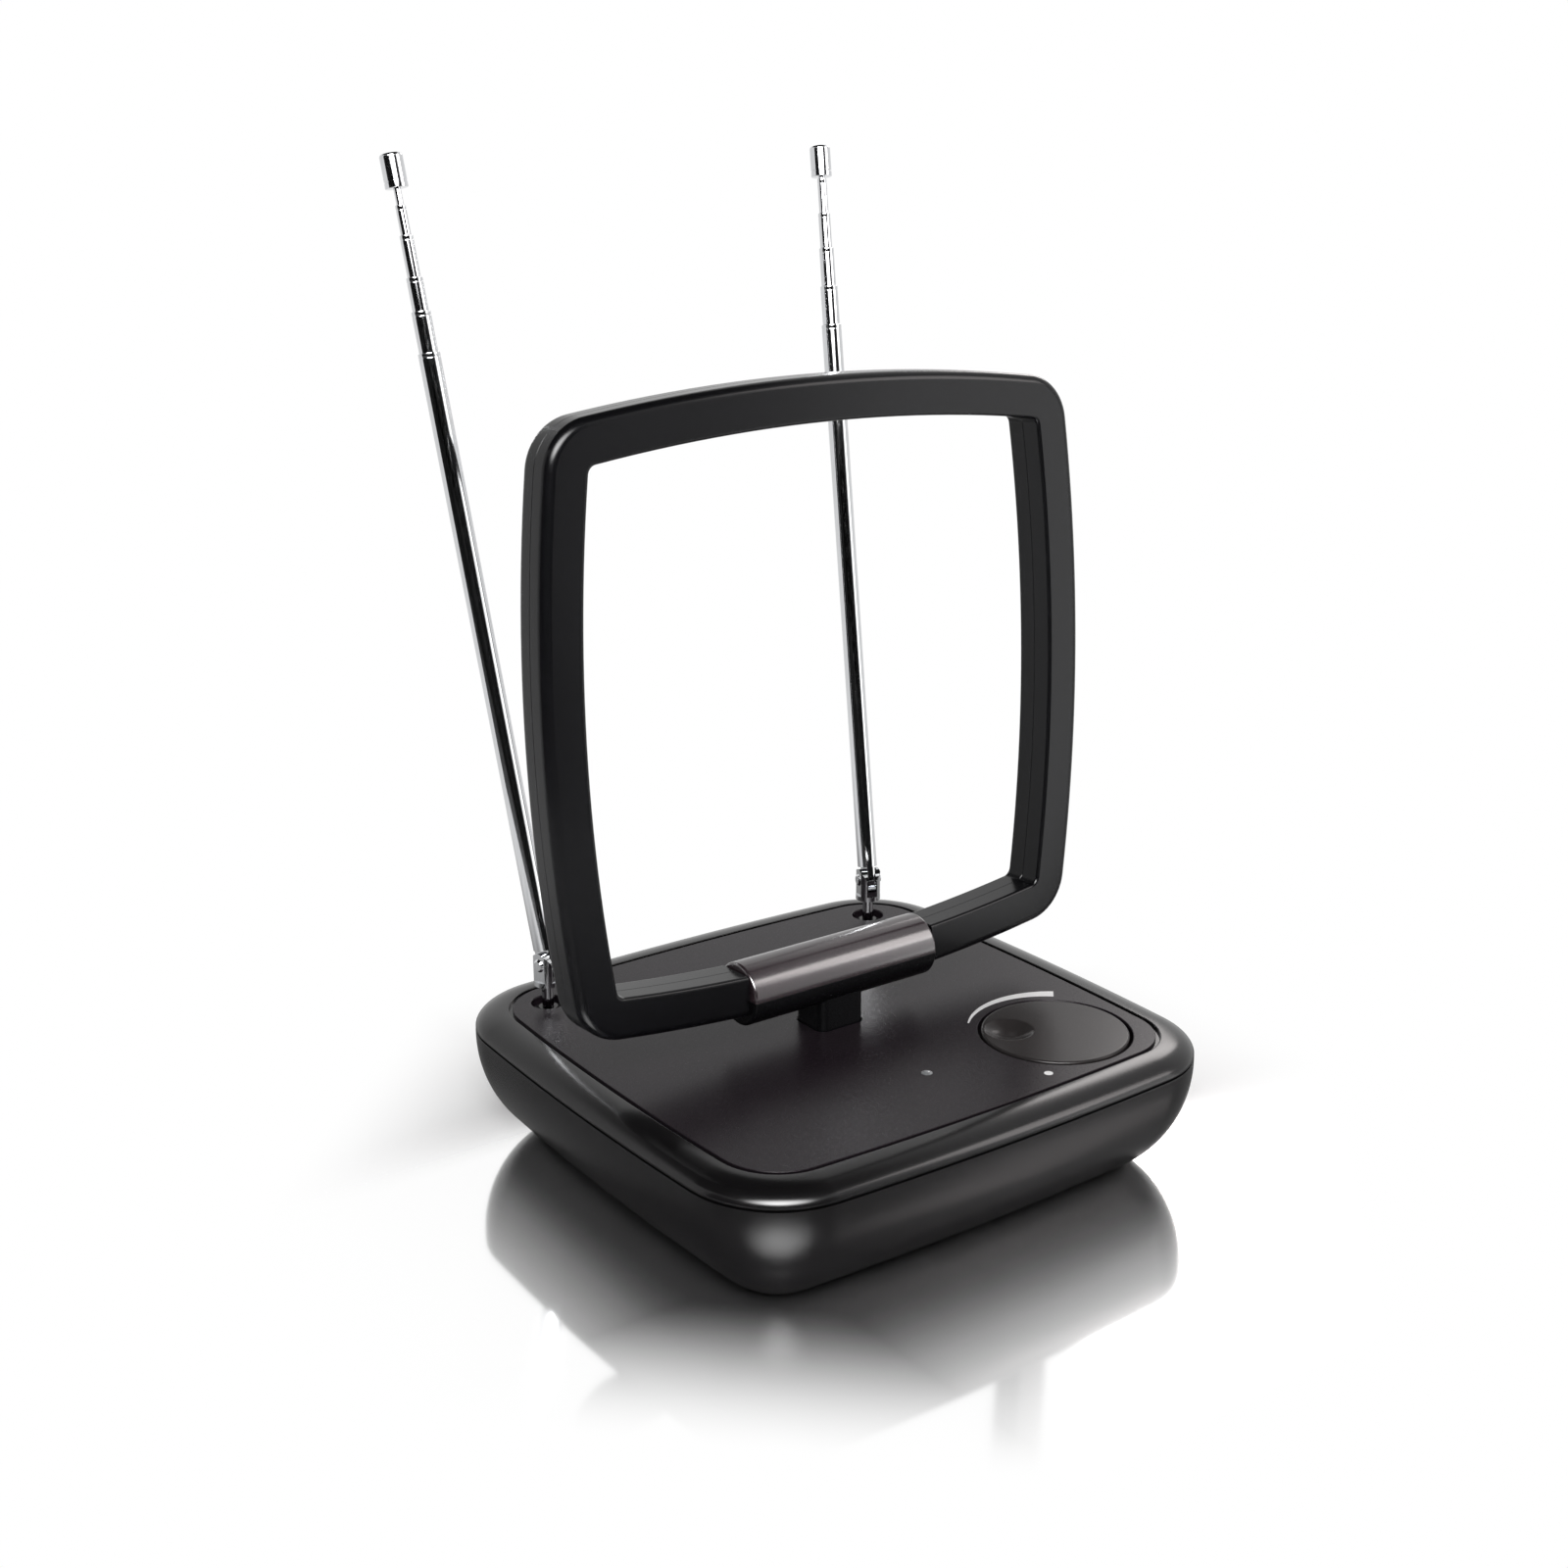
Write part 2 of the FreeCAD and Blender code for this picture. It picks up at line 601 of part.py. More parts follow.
def circuit_board():
    """Board on four standoffs."""
    board = block(BOARD_LEFT, BOARD_RIGHT, BOARD_FRONT, BOARD_BACK, BOARD_UNDER, BOARD_TOP)
    for x, y in BOARD_SCREWS:
        board = board.cut(post(x, y, BOARD_UNDER, BOARD_TOP, SCREW_RADIUS + SCREW_HEAD_GAP))
    return board


def shield_can():
    """Folded screening can, open towards the board."""
    x, y = CAN_LENGTH / 2, CAN_WIDTH / 2
    top = BOARD_TOP + CAN_HEIGHT
    can = block(CAN_X - x, CAN_X + x, CAN_Y - y, CAN_Y + y, BOARD_TOP, top)
    x -= CAN_SHEET
    y -= CAN_SHEET
    return can.cut(block(CAN_X - x, CAN_X + x, CAN_Y - y, CAN_Y + y, BOARD_TOP, top - CAN_SHEET))


def coax_socket():
    """Screw-on aerial socket: block on the board, flange behind the wall and barrel outside it."""
    half = COAX_BODY / 2
    inside = BAY_Y - WALL
    flange = inside - COAX_FLANGE_THICK
    end = BAY_Y + COAX_LENGTH
    front = BOARD_BACK - COAX_BODY
    socket = block(COAX_X - half, COAX_X + half, front, BOARD_BACK, BOARD_TOP, SOCKET_Z + half)
    socket = socket.multiFuse([
        along_y(COAX_X, BOARD_BACK, BAY_Y, SOCKET_Z, COAX_SHANK_RADIUS),
        along_y(COAX_X, flange, inside, SOCKET_Z, COAX_FLANGE_RADIUS),
        along_y(COAX_X, BAY_Y, end, SOCKET_Z, COAX_RADIUS),
    ])
    return socket.cut(along_y(COAX_X, end - COAX_BORE_DEPTH, end, SOCKET_Z, COAX_BORE_RADIUS))


def power_jack():
    """Low-voltage inlet with a centre pin, its mouth level with the wall of the bay."""
    half = JACK_BODY / 2
    front = BOARD_BACK - JACK_BODY
    jack = block(JACK_X - half, JACK_X + half, front, BOARD_BACK, BOARD_TOP, SOCKET_Z + half)
    jack = jack.fuse(along_y(JACK_X, BOARD_BACK, BAY_Y, SOCKET_Z, JACK_RADIUS))
    jack = jack.cut(along_y(JACK_X, BAY_Y - JACK_BORE_DEPTH, BAY_Y, SOCKET_Z, JACK_BORE_RADIUS))
    return jack.fuse(along_y(JACK_X, BAY_Y - JACK_BORE_DEPTH, BAY_Y, SOCKET_Z, JACK_PIN_RADIUS))


def ballast_plate():
    """Steel plate on the floor that keeps the base down."""
    x, y = BALLAST_WIDTH / 2, BALLAST_HALF_Y
    plate = block(BALLAST_X - x, BALLAST_X + x, -y, y, FLOOR_Z, FLOOR_Z + BALLAST_THICK)
    for peg in (-PEG_Y, PEG_Y):
        plate = plate.cut(post(BALLAST_X, peg, FLOOR_Z, FLOOR_Z + BALLAST_THICK, PEG_RADIUS + PEG_GAP))
    return plate


def screws(places, seat, tip):
    """Pan-head screws with their heads at one level; the tip lies above or below the head."""
    head = seat + SCREW_HEAD_HEIGHT * (1 if tip < seat else -1)
    solids = []
    for x, y in places:
        shank = post(x, y, min(seat, tip), max(seat, tip), SCREW_RADIUS)
        solids.append(shank.fuse(post(x, y, min(seat, head), max(seat, head), SCREW_HEAD_RADIUS)))
    return Part.makeCompound(solids)


def sleeve():
    """Whole barrel of the hinge with softened ends."""
    half = SLEEVE_LENGTH / 2
    barrel = rounded(post(0, 0, -half, half, SLEEVE_RADIUS), SLEEVE_EDGE, SLEEVE_RADIUS, [-half, half])
    barrel.rotate(ORIGIN, BACK, 90)
    barrel.translate(UP * HINGE_Z)
    return barrel


def hinge_bore():
    """Running bore for the two journals of the loop."""
    half = SLEEVE_LENGTH / 2
    return along_x(-half, half, 0, HINGE_Z, JOURNAL_RADIUS + JOURNAL_GAP)


def dowels(radius, length):
    """Upright pins in the joint between the cradle and its cap, reaching down from it."""
    y = (SLEEVE_RADIUS + JOURNAL_RADIUS) / 2
    return [
        post(x, side * y, HINGE_Z - length, HINGE_Z, radius)
        for x in (-DOWEL_X, DOWEL_X)
        for side in (-1, 1)
    ]


def hinge_cradle():
    """Post with the lower half of the sleeve on top and a screwed flange under the cover."""
    half = SLEEVE_LENGTH / 2
    below = block(-half, half, -SLEEVE_RADIUS, SLEEVE_RADIUS, HINGE_Z - SLEEVE_RADIUS, HINGE_Z)
    cradle = sleeve().common(below)
    cradle = cradle.fuse(soft_block(POST_WIDTH / 2, POST_DEPTH / 2, POST_EDGE, FLANGE_UNDER, HINGE_Z))
    foot_x, foot_y = FLANGE_LENGTH / 2, FLANGE_WIDTH / 2
    cradle = cradle.fuse(block(-foot_x, foot_x, -foot_y, foot_y, FLANGE_UNDER, FLANGE_TOP))
    cradle = cradle.cut(hinge_bore())
    cradle = cradle.cut(post(0, 0, FLANGE_UNDER, HINGE_Z, POST_WIRE_HOLE))
    for x, y in FLANGE_SCREWS:
        cradle = cradle.cut(post(x, y, FLANGE_UNDER, FLANGE_TOP, SCREW_RADIUS + SCREW_FIT))
    for hole in dowels(DOWEL_RADIUS + DOWEL_GAP, DOWEL_LENGTH + DOWEL_GAP):
        cradle = cradle.cut(hole)
    return cradle.removeSplitter()


def hinge_cap():
    """Upper half of the sleeve with four locating dowels."""
    half = SLEEVE_LENGTH / 2
    above = block(-half, half, -SLEEVE_RADIUS, SLEEVE_RADIUS, HINGE_Z, HINGE_Z + SLEEVE_RADIUS)
    cap = sleeve().common(above).cut(hinge_bore())
    return cap.multiFuse(dowels(DOWEL_RADIUS, DOWEL_LENGTH))


LOOP_HALF_HEIGHT = (LOOP_TOP + LOOP_BAR / 2) / 2
LOOP_MIDDLE = LOOP_TOP - LOOP_HALF_HEIGHT
LOOP_ARCS = bowed_arcs(
    LOOP_HALF_WIDTH - LOOP_BAR, LOOP_HALF_HEIGHT - LOOP_BAR, LOOP_BOW, LOOP_INNER_CORNER
)


def stand_loop(shape):
    """Lift a loop piece, drawn flat with its middle at the origin, to its place in the hinge."""
    shape.translate(BACK * LOOP_MIDDLE)
    shape.rotate(ORIGIN, RIGHT, 90 - LOOP_LEAN)
    shape.translate(UP * HINGE_Z)
    return shape


def loop_slot(gap):
    """Flat channel along the middle of the loop's bars, wider than the strip in it by a gap."""
    near = (LOOP_BAR - CONDUCTOR_THICK) / 2 - gap
    far = (LOOP_BAR + CONDUCTOR_THICK) / 2 + gap
    half = CONDUCTOR_WIDTH / 2 + gap
    return sweep_round(LOOP_ARCS, polygon([(near, -half), (far, -half), (far, half), (near, half)]))


def loop_shell(side):
    """Front (1) or back (-1) half of the loop frame with its half journals."""
    face = LOOP_DEPTH / 2
    inside = face - LOOP_INNER_EDGE
    outside = face - LOOP_OUTER_EDGE
    section = lines([(0, inside), (0, 0), (LOOP_BAR, 0), (LOOP_BAR, outside)])
    section.append(arc((LOOP_BAR - LOOP_OUTER_EDGE, outside), LOOP_OUTER_EDGE, 0, 90))
    section += lines([(LOOP_BAR - LOOP_OUTER_EDGE, face), (LOOP_INNER_EDGE, face)])
    section.append(arc((LOOP_INNER_EDGE, inside), LOOP_INNER_EDGE, 90, 180))
    frame = sweep_round(LOOP_ARCS, Part.Face(Part.Wire(section)))
    end = SLEEVE_LENGTH / 2 + LOOP_END_GAP
    frame = frame.cut(block(-end, end, -LOOP_MIDDLE - LOOP_BAR, LOOP_BAR - LOOP_MIDDLE, 0, face))
    near = block(-end, end, -LOOP_MIDDLE - LOOP_BAR, LOOP_BAR - LOOP_MIDDLE, 0, LOOP_BAR)
    for low, high in ((-end, -JOURNAL_END), (JOURNAL_END, end)):
        frame = frame.fuse(along_x(low, high, -LOOP_MIDDLE, 0, JOURNAL_RADIUS).common(near))
    frame = frame.cut(loop_slot(CONDUCTOR_GAP))
    if side < 0:
        frame.rotate(ORIGIN, BACK, 180)
    return stand_loop(frame.removeSplitter())


def loop_conductor():
    """Bent strip that is the receiving loop, open between the two journals."""
    low = -LOOP_MIDDLE - LOOP_BAR
    high = LOOP_BAR - LOOP_MIDDLE
    gap = block(-JOURNAL_END, JOURNAL_END, low, high, -LOOP_DEPTH, LOOP_DEPTH)
    return stand_loop(loop_slot(0).cut(gap))


def loop_leads():
    """Two leads that rise from the board through the post to the ends of the loop."""
    return Part.makeCompound([
        post(side * LOOP_LEAD_X, 0, BOARD_TOP, HINGE_Z, LOOP_LEAD_RADIUS) for side in (-1, 1)
    ])


def place_swivel(shape, side):
    """Turn a swivel piece to its rest heading over the left (-1) or right (1) socket."""
    shape.rotate(ORIGIN, UP, -side * ROD_SPLAY)
    shape.translate(Vector(side * ROD_X, ROD_Y, 0))
    return shape


def place_rod(shape, side):
    """Lean a rod piece, drawn upright with the pivot at the origin, to its rest position."""
    shape.rotate(ORIGIN, RIGHT, -ROD_LEAN)
    shape.translate(UP * PIVOT_Z)
    return place_swivel(shape, side)


def rod_bush(side):
    """Insulating bush in its cup under the cover."""
    bush = post(0, 0, BUSH_UNDER, ROOF_Z, BUSH_RADIUS)
    bush = bush.cut(post(0, 0, BUSH_UNDER, ROOF_Z, STEM_RADIUS + STEM_FIT))
    return place_swivel(bush, side)


def rod_tag(side):
    """Contact ring under the bush with a tail for the lead."""
    tail = TAG_TAIL_WIDTH / 2
    tag = post(0, 0, TAG_UNDER, BUSH_UNDER, TAG_RADIUS)
    tag = tag.fuse(block(-tail, tail, -TAG_TAIL, 0, TAG_UNDER, BUSH_UNDER))
    tag = tag.cut(post(0, 0, TAG_UNDER, BUSH_UNDER, STEM_RADIUS + TAG_FIT))
    tag.translate(Vector(side * ROD_X, ROD_Y, 0))
    return tag


def wire_bend(x, z, centre_x):
    """Quarter turn of a lead, from upright at one place to level."""
    disc = Part.Face(Part.Wire(Part.Circle(Vector(x, 0, z), UP, WIRE_RADIUS).toShape()))
    return disc.revolve(Vector(centre_x, 0, z), BACK * -1, 90)


def feed_wire(side):
    """Lead from the tail of the contact ring, inwards and down to the board."""
    edge = BOARD_RIGHT if side > 0 else BOARD_LEFT
    run = ROD_X - side * edge + WIRE_PAD_INSET
    high = WIRE_LEVEL + WIRE_BEND
    low = WIRE_LEVEL - WIRE_BEND
    wire = post(0, 0, high, TAG_UNDER, WIRE_RADIUS).multiFuse([
        wire_bend(0, high, WIRE_BEND),
        along_x(WIRE_BEND, run - WIRE_BEND, 0, WIRE_LEVEL, WIRE_RADIUS),
        wire_bend(run, low, run - WIRE_BEND),
        post(run, 0, BOARD_TOP, low, WIRE_RADIUS),
    ]).removeSplitter()
    if side > 0:
        wire.rotate(ORIGIN, UP, 180)
    wire.translate(Vector(side * ROD_X, ROD_Y - TAG_TAIL + TAG_TAIL_WIDTH / 2, 0))
    return wire


def rod_swivel(side):
    """Turned stem with a flange and the fork of the knuckle."""
    flange_under = PIVOT_Z - TONGUE_RADIUS - FORK_FLOOR_GAP - ROD_FLANGE_THICK - STEM_RADIUS
    flange_top = flange_under + ROD_FLANGE_THICK
    stem = spun([
        (0, TAG_UNDER - CLIP_THICK),
        (STEM_RADIUS, TAG_UNDER - CLIP_THICK),
        (STEM_RADIUS, ROOF_Z),
        (COLLAR_RADIUS, ROOF_Z),
        (COLLAR_RADIUS, ROOF_Z + COLLAR_HEIGHT),
        (STEM_RADIUS, ROOF_Z + COLLAR_HEIGHT),
        (STEM_RADIUS, flange_under),
        (ROD_FLANGE_RADIUS, flange_under),
        (ROD_FLANGE_RADIUS, flange_top),
        (0, flange_top),
    ])
    half = FORK_THICK / 2
    cheeks = block(-half, half, -FORK_RADIUS, FORK_RADIUS, flange_top, PIVOT_Z)
    cheeks = cheeks.fuse(along_x(-half, half, 0, PIVOT_Z, FORK_RADIUS))
    slot = TONGUE_THICK / 2 + TONGUE_GAP
    floor = PIVOT_Z - TONGUE_RADIUS - FORK_FLOOR_GAP
    top = PIVOT_Z + FORK_RADIUS
    cheeks = cheeks.cut(block(-slot, slot, -FORK_RADIUS, FORK_RADIUS, floor, top))
    cheeks = cheeks.common(post(0, 0, flange_top, top, ROD_FLANGE_RADIUS))
    cheeks = cheeks.cut(along_x(-half, half, 0, PIVOT_Z, RIVET_RADIUS + RIVET_FIT))
    return place_swivel(stem.fuse(cheeks).removeSplitter(), side)


def rod_clip(side):
    """Retaining ring pressed on the lower end of the stem."""
    clip = post(0, 0, TAG_UNDER - CLIP_THICK, TAG_UNDER, CLIP_RADIUS)
    clip = clip.cut(post(0, 0, TAG_UNDER - CLIP_THICK, TAG_UNDER, STEM_RADIUS + PLUG_FIT))
    return place_swivel(clip, side)


def rod_rivet(side):
    """Rivet across the fork with a shallow head at each end."""
    half = FORK_THICK / 2
    slope = RIVET_HEAD_RADIUS - RIVET_HEAD_HEIGHT
    rivet = spun([
        (0, -half - RIVET_HEAD_HEIGHT),
        (slope, -half - RIVET_HEAD_HEIGHT),
        (RIVET_HEAD_RADIUS, -half),
        (RIVET_RADIUS, -half),
        (RIVET_RADIUS, half),
        (RIVET_HEAD_RADIUS, half),
        (slope, half + RIVET_HEAD_HEIGHT),
        (0, half + RIVET_HEAD_HEIGHT),
    ])
    rivet.rotate(ORIGIN, BACK, 90)
    rivet.translate(UP * PIVOT_Z)
    return place_swivel(rivet, side)


def tube_radius(index):
    """Outer radius of a telescopic section, the thin rod included."""
    return TUBE_RADIUS - index * SECTION_STEP


def tube_bore(index):
    """Inner radius of a telescopic section."""
    return tube_radius(index + 1) + SECTION_GAP


def rod_knuckle(side):
    """Tongue of the knuckle with a shoulder and the plug inside the first tube."""
    half = TONGUE_THICK / 2
    tongue = along_x(-half, half, 0, 0, TONGUE_RADIUS)
    tongue = tongue.fuse(block(-half, half, -TONGUE_RADIUS, TONGUE_RADIUS, 0, TUBE_START - SHOULDER_HEIGHT))
    tongue = tongue.common(post(0, 0, -TONGUE_RADIUS, TUBE_START, TUBE_RADIUS))
    tongue = tongue.multiFuse([
        post(0, 0, TUBE_START - SHOULDER_HEIGHT, TUBE_START, TUBE_RADIUS),
        post(0, 0, TUBE_START, TUBE_START + PLUG_LENGTH, tube_bore(0) - PLUG_FIT),
    ])
    return place_rod(tongue.cut(along_x(-half, half, 0, 0, RIVET_RADIUS + RIVET_FIT)), side)


def section_length(index):
    """Length of a section that still hides in the one before it when it is pushed home."""
    if index == 0:
        return TUBE_LENGTH
    return TUBE_LENGTH - PLUG_LENGTH - PLUG_CLEAR - index * SECTION_SHORTER


def section_top(index, pulled):
    """Height of a section's upper end above the pivot."""
    return TUBE_START + TUBE_LENGTH + sum(pulled[:index])


def rod_tube(side, index, pulled):
    """Telescopic tube with a rolled lip at the top and a swelled foot that keeps it in its bore."""
    top = section_top(index, pulled)
    foot = top - section_length(index)
    outer = tube_radius(index)
    bore = tube_bore(index)
    lip = tube_radius(index + 1) + SLIDE_FIT
    swell = [(outer, foot)]
    if index > 0:
        wide = tube_bore(index - 1) - SLIDE_FIT
        swell = [(wide, foot), (wide, foot + SWELL_LENGTH), (outer, foot + SWELL_LENGTH)]
    tube = spun([
        (bore, foot),
        *swell,
        (outer, top),
        (lip, top),
        (lip, top - TUBE_LIP),
        (bore, top - TUBE_LIP),
    ])
    return place_rod(rounded(tube, TUBE_EDGE, outer, [top]), side)


def rod_tip(side, pulled):
    """Solid thin rod at the end, with a swelled foot."""
    top = section_top(TUBE_COUNT, pulled)
    foot = top - section_length(TUBE_COUNT)
    outer = tube_radius(TUBE_COUNT)
    wide = tube_bore(TUBE_COUNT - 1) - SLIDE_FIT
    rod = spun([
        (0, foot),
        (wide, foot),
        (wide, foot + SWELL_LENGTH),
        (outer, foot + SWELL_LENGTH),
        (outer, top + CAP_BITE),
        (0, top + CAP_BITE),
    ])
    return place_rod(rod, side)


def rod_cap(side, pulled):
    """Rounded end cap pressed on the thin rod."""
    low = section_top(TUBE_COUNT, pulled)
    bore = tube_radius(TUBE_COUNT) + PLUG_FIT
    cap = spun([
        (bore, low),
        (CAP_RADIUS, low),
        (CAP_RADIUS, low + CAP_LENGTH),
        (0, low + CAP_LENGTH),
        (0, low + CAP_BITE),
        (bore, low + CAP_BITE),
    ])
    return place_rod(rounded(cap, CAP_EDGE, CAP_RADIUS, [low, low + CAP_LENGTH]), side)


def rod_nodes(name, side, pulled):
    """All pieces of one rod."""
    nodes = {
        "bush": rod_bush(side),
        "tag": rod_tag(side),
        "clip": rod_clip(side),
        "feed_wire": feed_wire(side),
        "swivel": rod_swivel(side),
        "rivet": rod_rivet(side),
        "knuckle": rod_knuckle(side),
        "tip": rod_tip(side, pulled),
        "cap": rod_cap(side, pulled),
    }
    for index in range(TUBE_COUNT):
        nodes[f"tube_{index + 1}"] = rod_tube(side, index, pulled)
    return {f"{name}_rod_{piece}": shape for piece, shape in nodes.items()}


def all_nodes():
    """Every piece of the aerial by name."""
    seat = BOSS_MEET_Z - BOSS_SEAT
    nodes = {
        "bottom_housing": bottom_housing(),
        "top_cover": top_cover(),
        "gain_dial": gain_dial(),
        "gain_pot": gain_pot(),
        "gain_pot_shaft": gain_pot_shaft(),
        "power_led": post(LIGHT_X, LIGHT_Y, BOARD_TOP, BOARD_TOP + LED_HEIGHT, LIGHT_RADIUS),
        "power_light": power_light(),
        "circuit_board": circuit_board(),
        "shield_can": shield_can(),
        "coax_socket": coax_socket(),
        "power_jack": power_jack(),
        "ballast_plate": ballast_plate(),
        "case_screws": screws(CASE_SCREWS, seat, BOSS_MEET_Z + CASE_SCREW_BITE - SCREW_HEAD_GAP),
        "board_screws": screws(BOARD_SCREWS, BOARD_TOP, BOARD_UNDER - BOARD_SCREW_BITE + SCREW_HEAD_GAP),
        "hinge_screws": screws(FLANGE_SCREWS, FLANGE_UNDER, FLANGE_TOP + FLANGE_SCREW_BITE - SCREW_HEAD_GAP),
        "hinge_cradle": hinge_cradle(),
        "hinge_cap": hinge_cap(),
        "loop_front": loop_shell(1),
        "loop_back": loop_shell(-1),
        "loop_conductor": loop_conductor(),
        "loop_leads": loop_leads(),
    }
    for end, y in (("front", -FOOT_Y), ("back", FOOT_Y)):
        for hand, x in (("left", -FOOT_X), ("right", FOOT_X)):
            nodes[f"foot_{end}_{hand}"] = rubber_foot(x, y)
    nodes.update(rod_nodes("left", -1, LEFT_PULLED))
    nodes.update(rod_nodes("right", 1, RIGHT_PULLED))
    return nodes


os.makedirs("parts", exist_ok=True)
for node, shape in all_nodes().items():
    shape.exportStep(os.path.join("parts", f"{node}.step"))
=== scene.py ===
"""Looks of a set-top television aerial with a tilting loop and two telescopic rods.

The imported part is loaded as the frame, in metres, with +Z up and the front edge towards -Y.
"""
import json
import math

import bpy
from mathutils import Matrix, Vector


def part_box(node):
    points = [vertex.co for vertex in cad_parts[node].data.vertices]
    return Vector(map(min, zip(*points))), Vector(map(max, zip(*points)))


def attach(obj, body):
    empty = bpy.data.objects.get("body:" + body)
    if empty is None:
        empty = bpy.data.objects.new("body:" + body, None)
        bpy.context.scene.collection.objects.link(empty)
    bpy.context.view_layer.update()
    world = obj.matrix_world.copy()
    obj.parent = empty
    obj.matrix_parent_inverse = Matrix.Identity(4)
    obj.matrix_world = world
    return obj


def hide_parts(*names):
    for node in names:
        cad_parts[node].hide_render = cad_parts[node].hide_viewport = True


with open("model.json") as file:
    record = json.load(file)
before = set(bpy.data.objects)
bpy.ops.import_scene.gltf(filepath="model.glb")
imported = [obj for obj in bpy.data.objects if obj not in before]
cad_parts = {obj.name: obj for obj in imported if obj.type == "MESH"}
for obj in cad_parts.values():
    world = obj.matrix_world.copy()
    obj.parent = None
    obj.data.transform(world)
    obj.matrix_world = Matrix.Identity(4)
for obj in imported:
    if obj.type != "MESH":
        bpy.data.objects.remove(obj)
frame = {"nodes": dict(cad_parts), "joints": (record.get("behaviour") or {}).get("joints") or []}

bl_info = {
    "name": "Set-top aerial",
    "version": (1, 0, 0),
    "blender": (4, 5, 0),
    "location": "View3D > Sidebar > Aerial",
    "description": "Models and finishes the pieces of a set-top aerial round its packed part",
    "category": "Object",
}

MM = 0.001
UP = Vector((0.0, 0.0, 1.0))
RIGHT = Vector((1.0, 0.0, 0.0))
BACK = Vector((0.0, 1.0, 0.0))
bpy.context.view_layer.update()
NODES = frame["nodes"]
SIDES = ("left", "right")
SECTIONS = range(1, 6)
WELD = 0.002 * MM


def middle(name):
    """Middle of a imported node's box, in millimetres."""
    low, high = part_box(name)
    return (low + high) / (2 * MM)


def top(name):
    """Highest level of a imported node, in millimetres."""
    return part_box(name)[1].z / MM


def bottom(name):
    """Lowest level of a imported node, in millimetres."""
    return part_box(name)[0].z / MM


def joint(name):
    """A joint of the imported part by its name."""
    return next(j for j in frame["joints"] if j["name"] == name)


def tone(*levels):
    """A display colour of red, green and blue, 0 to 255, as a linear colour."""
    parts = (level / 255 for level in levels)
    return (*(p / 12.92 if p <= 0.04045 else ((p + 0.055) / 1.055) ** 2.4 for p in parts), 1.0)


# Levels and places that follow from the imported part, in millimetres
TOP_Z = top("top_cover")
SEAM_Z = top("bottom_housing")
FLOOR_UNDER = bottom("bottom_housing")
CAP_DOWEL = 2.0
HINGE_Z = bottom("hinge_cap") + CAP_DOWEL
RIM_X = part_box("top_cover")[1].x / MM
DIAL = middle("gain_dial")
DIAL_RADIUS = (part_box("gain_dial")[1].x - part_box("gain_dial")[0].x) / (2 * MM)
LIGHT = middle("power_light")
SLEEVE_RADIUS = top("hinge_cap") - HINGE_Z
SLEEVE_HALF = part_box("hinge_cap")[1].x / MM
LOOP_HALF_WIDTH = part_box("loop_front")[1].x / MM
BARREL_LENGTH = 10.0
BAY_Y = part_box("coax_socket")[1].y / MM - BARREL_LENGTH
SOCKET_Z = 20.5


class AerialSizes(bpy.types.PropertyGroup):
    """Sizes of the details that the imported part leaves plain, in metres."""

    groove_width: bpy.props.FloatProperty(
        name="Groove width", description="Width of the groove round the top panel",
        default=1.15 * MM, unit="LENGTH")
    groove_depth: bpy.props.FloatProperty(
        name="Groove depth", description="Depth of the groove round the top panel",
        default=0.9 * MM, unit="LENGTH")
    soft_edge: bpy.props.FloatProperty(
        name="Soft edge", description="Rounding of moulded edges that catch the light",
        default=0.22 * MM, unit="LENGTH")
    dimple_depth: bpy.props.FloatProperty(
        name="Dimple depth", description="Depth of the finger dimple in the gain dial",
        default=2.2 * MM, unit="LENGTH")
    print_thick: bpy.props.FloatProperty(
        name="Print thickness", description="Thickness of the printed marks on the panel",
        default=0.03 * MM, unit="LENGTH")


class AerialColours(bpy.types.PropertyGroup):
    """Colours of the finishes."""

    panel: bpy.props.FloatVectorProperty(
        name="Panel", description="Satin plastic of the top panel",
        default=tone(29, 23, 28), size=4, subtype="COLOR", min=0, max=1)
    rim: bpy.props.FloatVectorProperty(
        name="Rim", description="Gloss plastic of the rim and the bowl",
        default=tone(15, 14, 15), size=4, subtype="COLOR", min=0, max=1)
    dial: bpy.props.FloatVectorProperty(
        name="Dial", description="Plastic of the gain dial",
        default=tone(46, 43, 43), size=4, subtype="COLOR", min=0, max=1)
    loop: bpy.props.FloatVectorProperty(
        name="Loop", description="Plastic of the loop frame and its post",
        default=tone(12, 12, 14), size=4, subtype="COLOR", min=0, max=1)
    sleeve: bpy.props.FloatVectorProperty(
        name="Sleeve", description="Plastic of the hinge sleeve",
        default=tone(44, 34, 38), size=4, subtype="COLOR", min=0, max=1)
    marks: bpy.props.FloatVectorProperty(
        name="Printed marks", description="Ink of the printed marks",
        default=tone(226, 226, 226), size=4, subtype="COLOR", min=0, max=1)


def sizes():
    """The sizes a user may change."""
    return bpy.context.scene.aerial_sizes


def colours():
    """The colours a user may change."""
    return bpy.context.scene.aerial_colours


# Drawing and shaping


def pick_nothing():
    """Leave nothing selected, so that the next operator acts on its own piece."""
    bpy.ops.object.select_all(action="DESELECT")


def make_active(piece):
    """Select one piece alone."""
    pick_nothing()
    piece.select_set(True)
    bpy.context.view_layer.objects.active = piece


